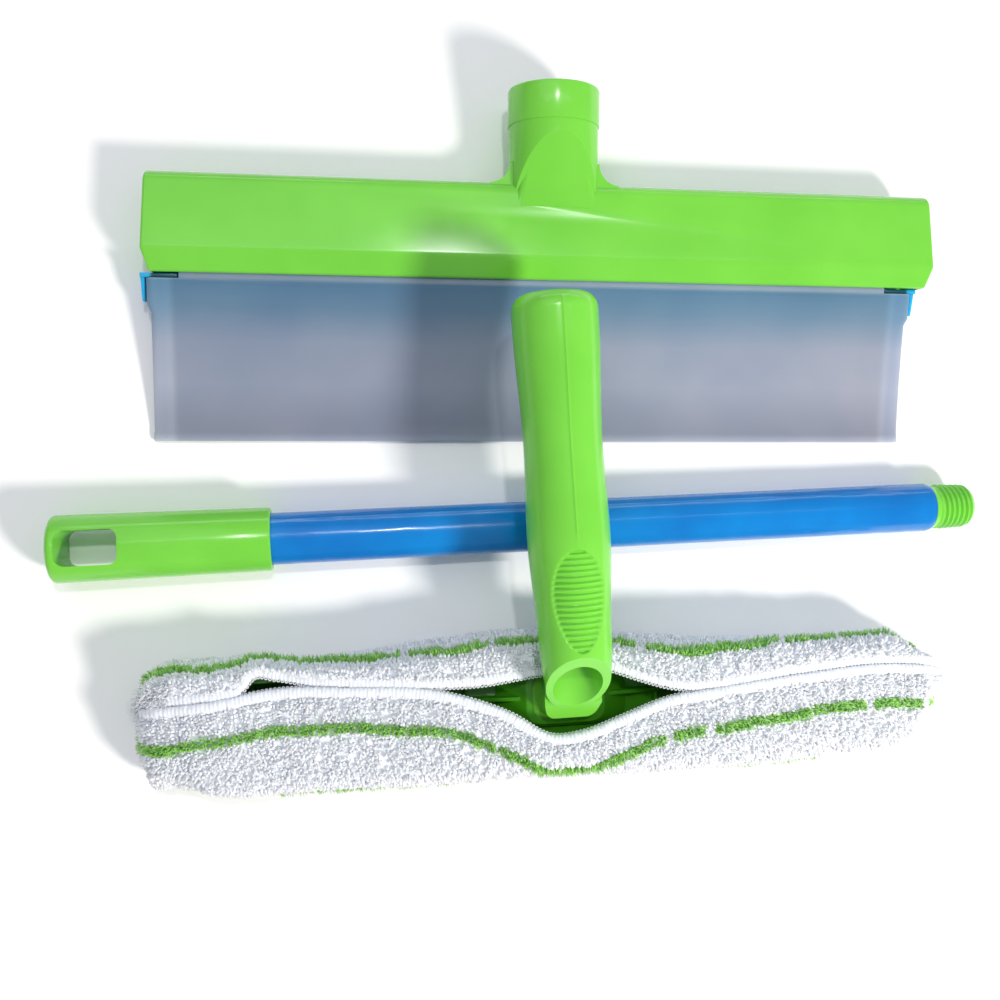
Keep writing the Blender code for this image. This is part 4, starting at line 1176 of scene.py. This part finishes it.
def hem_roll(name, sleeve, column, way, wide, thick):
    """Overlocked edge: a soft roll with the cover thread running across it."""
    path, along = hem_path(sleeve, column, ROLL_STEPS)
    side = unit(np.cross(UP, along))
    lift = np.cross(along, side)
    centre = path + side * way * ROLL_FROM_EDGE + lift * ROLL_LIFT
    stitch = np.arange(len(path)) / ROLL_STEPS
    rings = []
    for k in range(ROLL_SIDES):
        angle = 2 * np.pi * k / ROLL_SIDES
        ridge = ROLL_RIDGE * np.cos(2 * np.pi * (stitch + 0.35 * math.sin(angle)))
        ridge += np.array([ROLL_UNEVEN * noise.noise(Vector((x * 0.45, k * 0.9, way))) for x in path[:, 0]])
        rings.append(centre + side * math.cos(angle) * (wide + ridge)[:, None]
                     + lift * math.sin(angle) * (thick + ridge)[:, None])
    grid = np.stack(rings + [rings[0]], axis=1)
    piece = mesh_piece(name, grid.reshape(-1, 3), grid_faces(*grid.shape[:2]))
    open_whole(piece)
    bpy.ops.mesh.remove_doubles(threshold=0.000001)
    bpy.ops.mesh.select_mode(type="EDGE")
    bpy.ops.mesh.select_all(action="DESELECT")
    bpy.ops.mesh.select_non_manifold()
    bpy.ops.mesh.fill_holes(sides=0)
    close()
    return settled(outward(piece), WASHER, "washer", "microfibre", OVERLOCK)


def hem_loops(name, sleeve, column, way):
    """Loops of thread that stand off the hem's lip, one to each stitch."""
    path, along = hem_path(sleeve, column, 1)
    side = np.cross(UP, along)
    half_along, half_out = LOOP_HALF
    points = []
    faces = []
    for index, (place, forward, across) in enumerate(zip(path, along, side * way)):
        for step in range(LOOP_STEPS):
            bend = math.pi * step / (LOOP_STEPS - 1)
            middle = place - across * 0.5 + forward * half_along * math.cos(bend)
            middle = middle - across * half_out * math.sin(bend)
            out = forward * math.cos(bend) - across * math.sin(bend)
            for k in range(LOOP_SIDES):
                angle = 2 * math.pi * k / LOOP_SIDES
                points.append(middle + THREAD_R * (math.cos(angle) * out + math.sin(angle) * UP))
        start = index * LOOP_STEPS * LOOP_SIDES
        end = start + (LOOP_STEPS - 1) * LOOP_SIDES
        for low in range(start, end, LOOP_SIDES):
            high = low + LOOP_SIDES
            for k in range(LOOP_SIDES):
                n = (k + 1) % LOOP_SIDES
                faces.append((low + k, low + n, high + n, high + k))
        faces.append(tuple(start + k for k in reversed(range(LOOP_SIDES))))
        faces.append(tuple(end + k for k in range(LOOP_SIDES)))
    piece = mesh_piece(name, np.array(points), faces)
    return settled(outward(piece), WASHER, "washer", "microfibre", OVERLOCK)


def on_stripe(point, run, near):
    """The green stripes run beside each hem, with small gaps, and low on each side."""
    wave = np.array([noise.noise(Vector((x * 0.05, 3.0, 0.0))) for x in point[:, 0]])
    gaps = np.array([noise.noise(Vector((x * 0.11, 8.0, float(n)))) for x, n in zip(point[:, 0], near)])
    first = np.abs(run - HEM_STRIPE - STRIPE_WANDER * wave) < STRIPE_HALF
    low = np.abs(run - LOW_STRIPE - STRIPE_WANDER * wave) < STRIPE_HALF
    return (first | low) & (gaps > STRIPE_GAPS)


def washer_sleeve():
    """Stretched cloth with its hems, pile, green stripes and the loose thread ends at one corner."""
    sleeve = Sleeve()
    cloth = sleeve_cloth(sleeve)
    trims = [
        hem_roll("hem_far", sleeve, 0, 1, 2.0, 1.0),
        hem_roll("hem_near", sleeve, -1, -1, 2.3, 1.6),
        hem_loops("hem_loops_far", sleeve, 0, 1),
        hem_loops("hem_loops_near", sleeve, -1, -1),
    ]

    def white(place):
        return lambda point, run, near: (
            place(point[:, 2] < SOLE_PILE_Z, near) & (run > PILE_FROM_HEM) & ~on_stripe(point, run, near)
        )

    def green(point, run, near):
        return (run > PILE_FROM_HEM) & on_stripe(point, run, near)

    def loose_corner(point, run, near):
        x, z = point[:, 0], point[:, 2]
        return ~near & (x < LOOSE_CORNER_X) & (run < LOOSE_CORNER_RUN) & (z > LOOSE_CORNER_Z)

    places = (
        ("pile_far", 11, lambda sole, near: ~near & ~sole),
        ("pile_near", 12, lambda sole, near: near & ~sole),
        ("pile_sole", 14, lambda sole, near: sole),
    )
    for name, seed, place in places:
        trims.append(tufts(name, sleeve, seed, white(place), PILE_WHITE, **SHORT_PILE))
    trims.append(tufts("pile_stripes", sleeve, 13, green, PILE_GREEN, **STRIPE_PILE))
    trims.append(tufts("thread_ends", sleeve, 15, loose_corner, PILE_WHITE, **THREAD_ENDS))


# ------------ camera, light and floor

CAMERA_FROM_HEAD = (-87.8, -199.3)     # in plan, from the socket's mouth
CAMERA_HEIGHT = 473.0
CAMERA_TURN = (math.radians(2.59), math.radians(-7.82), math.radians(-0.67))
LENS = 38.43
SENSOR = 36.0

FLOOR_SIZE = 4.0
# (name, place, size, watts, colour, width where it is a strip), in metres
LIGHTS = (
    ("key", (0.66, -0.62, 0.80), 0.20, 12.6, "fffaf2", None),
    ("ceiling_lamp", (-0.01, 0.265, 1.2), 0.05, 2.4, "ffffff", None),
    ("window", (0.1, 1.1, 0.30), 1.5, 2.4, "f4f8ff", 0.06),
    ("tube_lamp", (0.0, 0.25, 1.25), 1.5, 1.0, "f4f8ff", 0.02),
    ("fill", (-0.5, 0.6, 1.1), 1.0, 1.6, "eef4ff", None),
)
SKY_COLOUR = "f6f8ff"
SKY_STRENGTH = 0.44


def camera():
    data = bpy.data.cameras.new("camera")
    data.lens = LENS
    data.sensor_width = SENSOR
    data.clip_start = 0.01
    seen_from = linked("camera", data)
    tilt, roll, turn = CAMERA_TURN
    plan = HEAD.translation / MM
    place = shifted(plan.x + CAMERA_FROM_HEAD[0], plan.y + CAMERA_FROM_HEAD[1], CAMERA_HEIGHT)
    aim = Matrix.Rotation(roll, 4, "Y") @ Matrix.Rotation(tilt, 4, "X") @ Matrix.Rotation(turn, 4, "Z")
    seen_from.matrix_world = place @ aim
    bpy.context.scene.camera = seen_from


def area_light(name, place, size, watts, colour, width):
    data = bpy.data.lights.new(name, "AREA")
    data.shape = "RECTANGLE" if width else "DISK"
    data.size = size
    if width:
        data.size_y = width
    data.energy = watts
    data.color = srgb(colour)[:3]
    lamp = linked(name, data)
    lamp.location = place
    lamp.rotation_euler = (-Vector(place)).to_track_quat("-Z", "Y").to_euler()
    return lamp


def studio():
    """Pale floor, one soft key, small lamps and strips for the highlights, and a pale sky."""
    bpy.ops.mesh.primitive_plane_add(size=FLOOR_SIZE, location=(0, 0, 0))
    floor = started("floor")
    made, tree, shader = new_material("matt_white_paper", Roughness=0.9, Specular_IOR_Level=0.1)
    two_colours(tree, shader, grain(tree, 90.0).outputs["Fac"], "fbfbfb", "fefefe")
    floor.data.materials.append(made)
    lamps = [area_light(*light) for light in LIGHTS]
    lamps[0].visible_glossy = False    # the smaller lamps give the highlights
    world = bpy.data.worlds.new("studio")
    world.use_nodes = True
    back = world.node_tree.nodes["Background"]
    back.inputs["Color"].default_value = srgb(SKY_COLOUR)
    back.inputs["Strength"].default_value = SKY_STRENGTH
    bpy.context.scene.world = world
    bpy.context.scene.view_settings.view_transform = "Standard"


camera()
studio()
head_body()
socket_bush()
refined_copy("blade_core", "core", CORE_EDGE, "blue_plastic", BLUE, "blade_cartridge")
blade()
pole_grip()
pole_film()
screw_tip()
pole_tube = frame["nodes"]["pole_tube"]
pole_tube.data.materials.clear()
pole_tube.data.materials.append(STEEL)
washer_handle()
# the tray takes the green darkened with painted shade
refined_copy("washer_tray", "tray", TRAY_EDGE, "green_plastic_inner", GREEN_PAINTED_SHADE, "washer")
washer_sleeve()
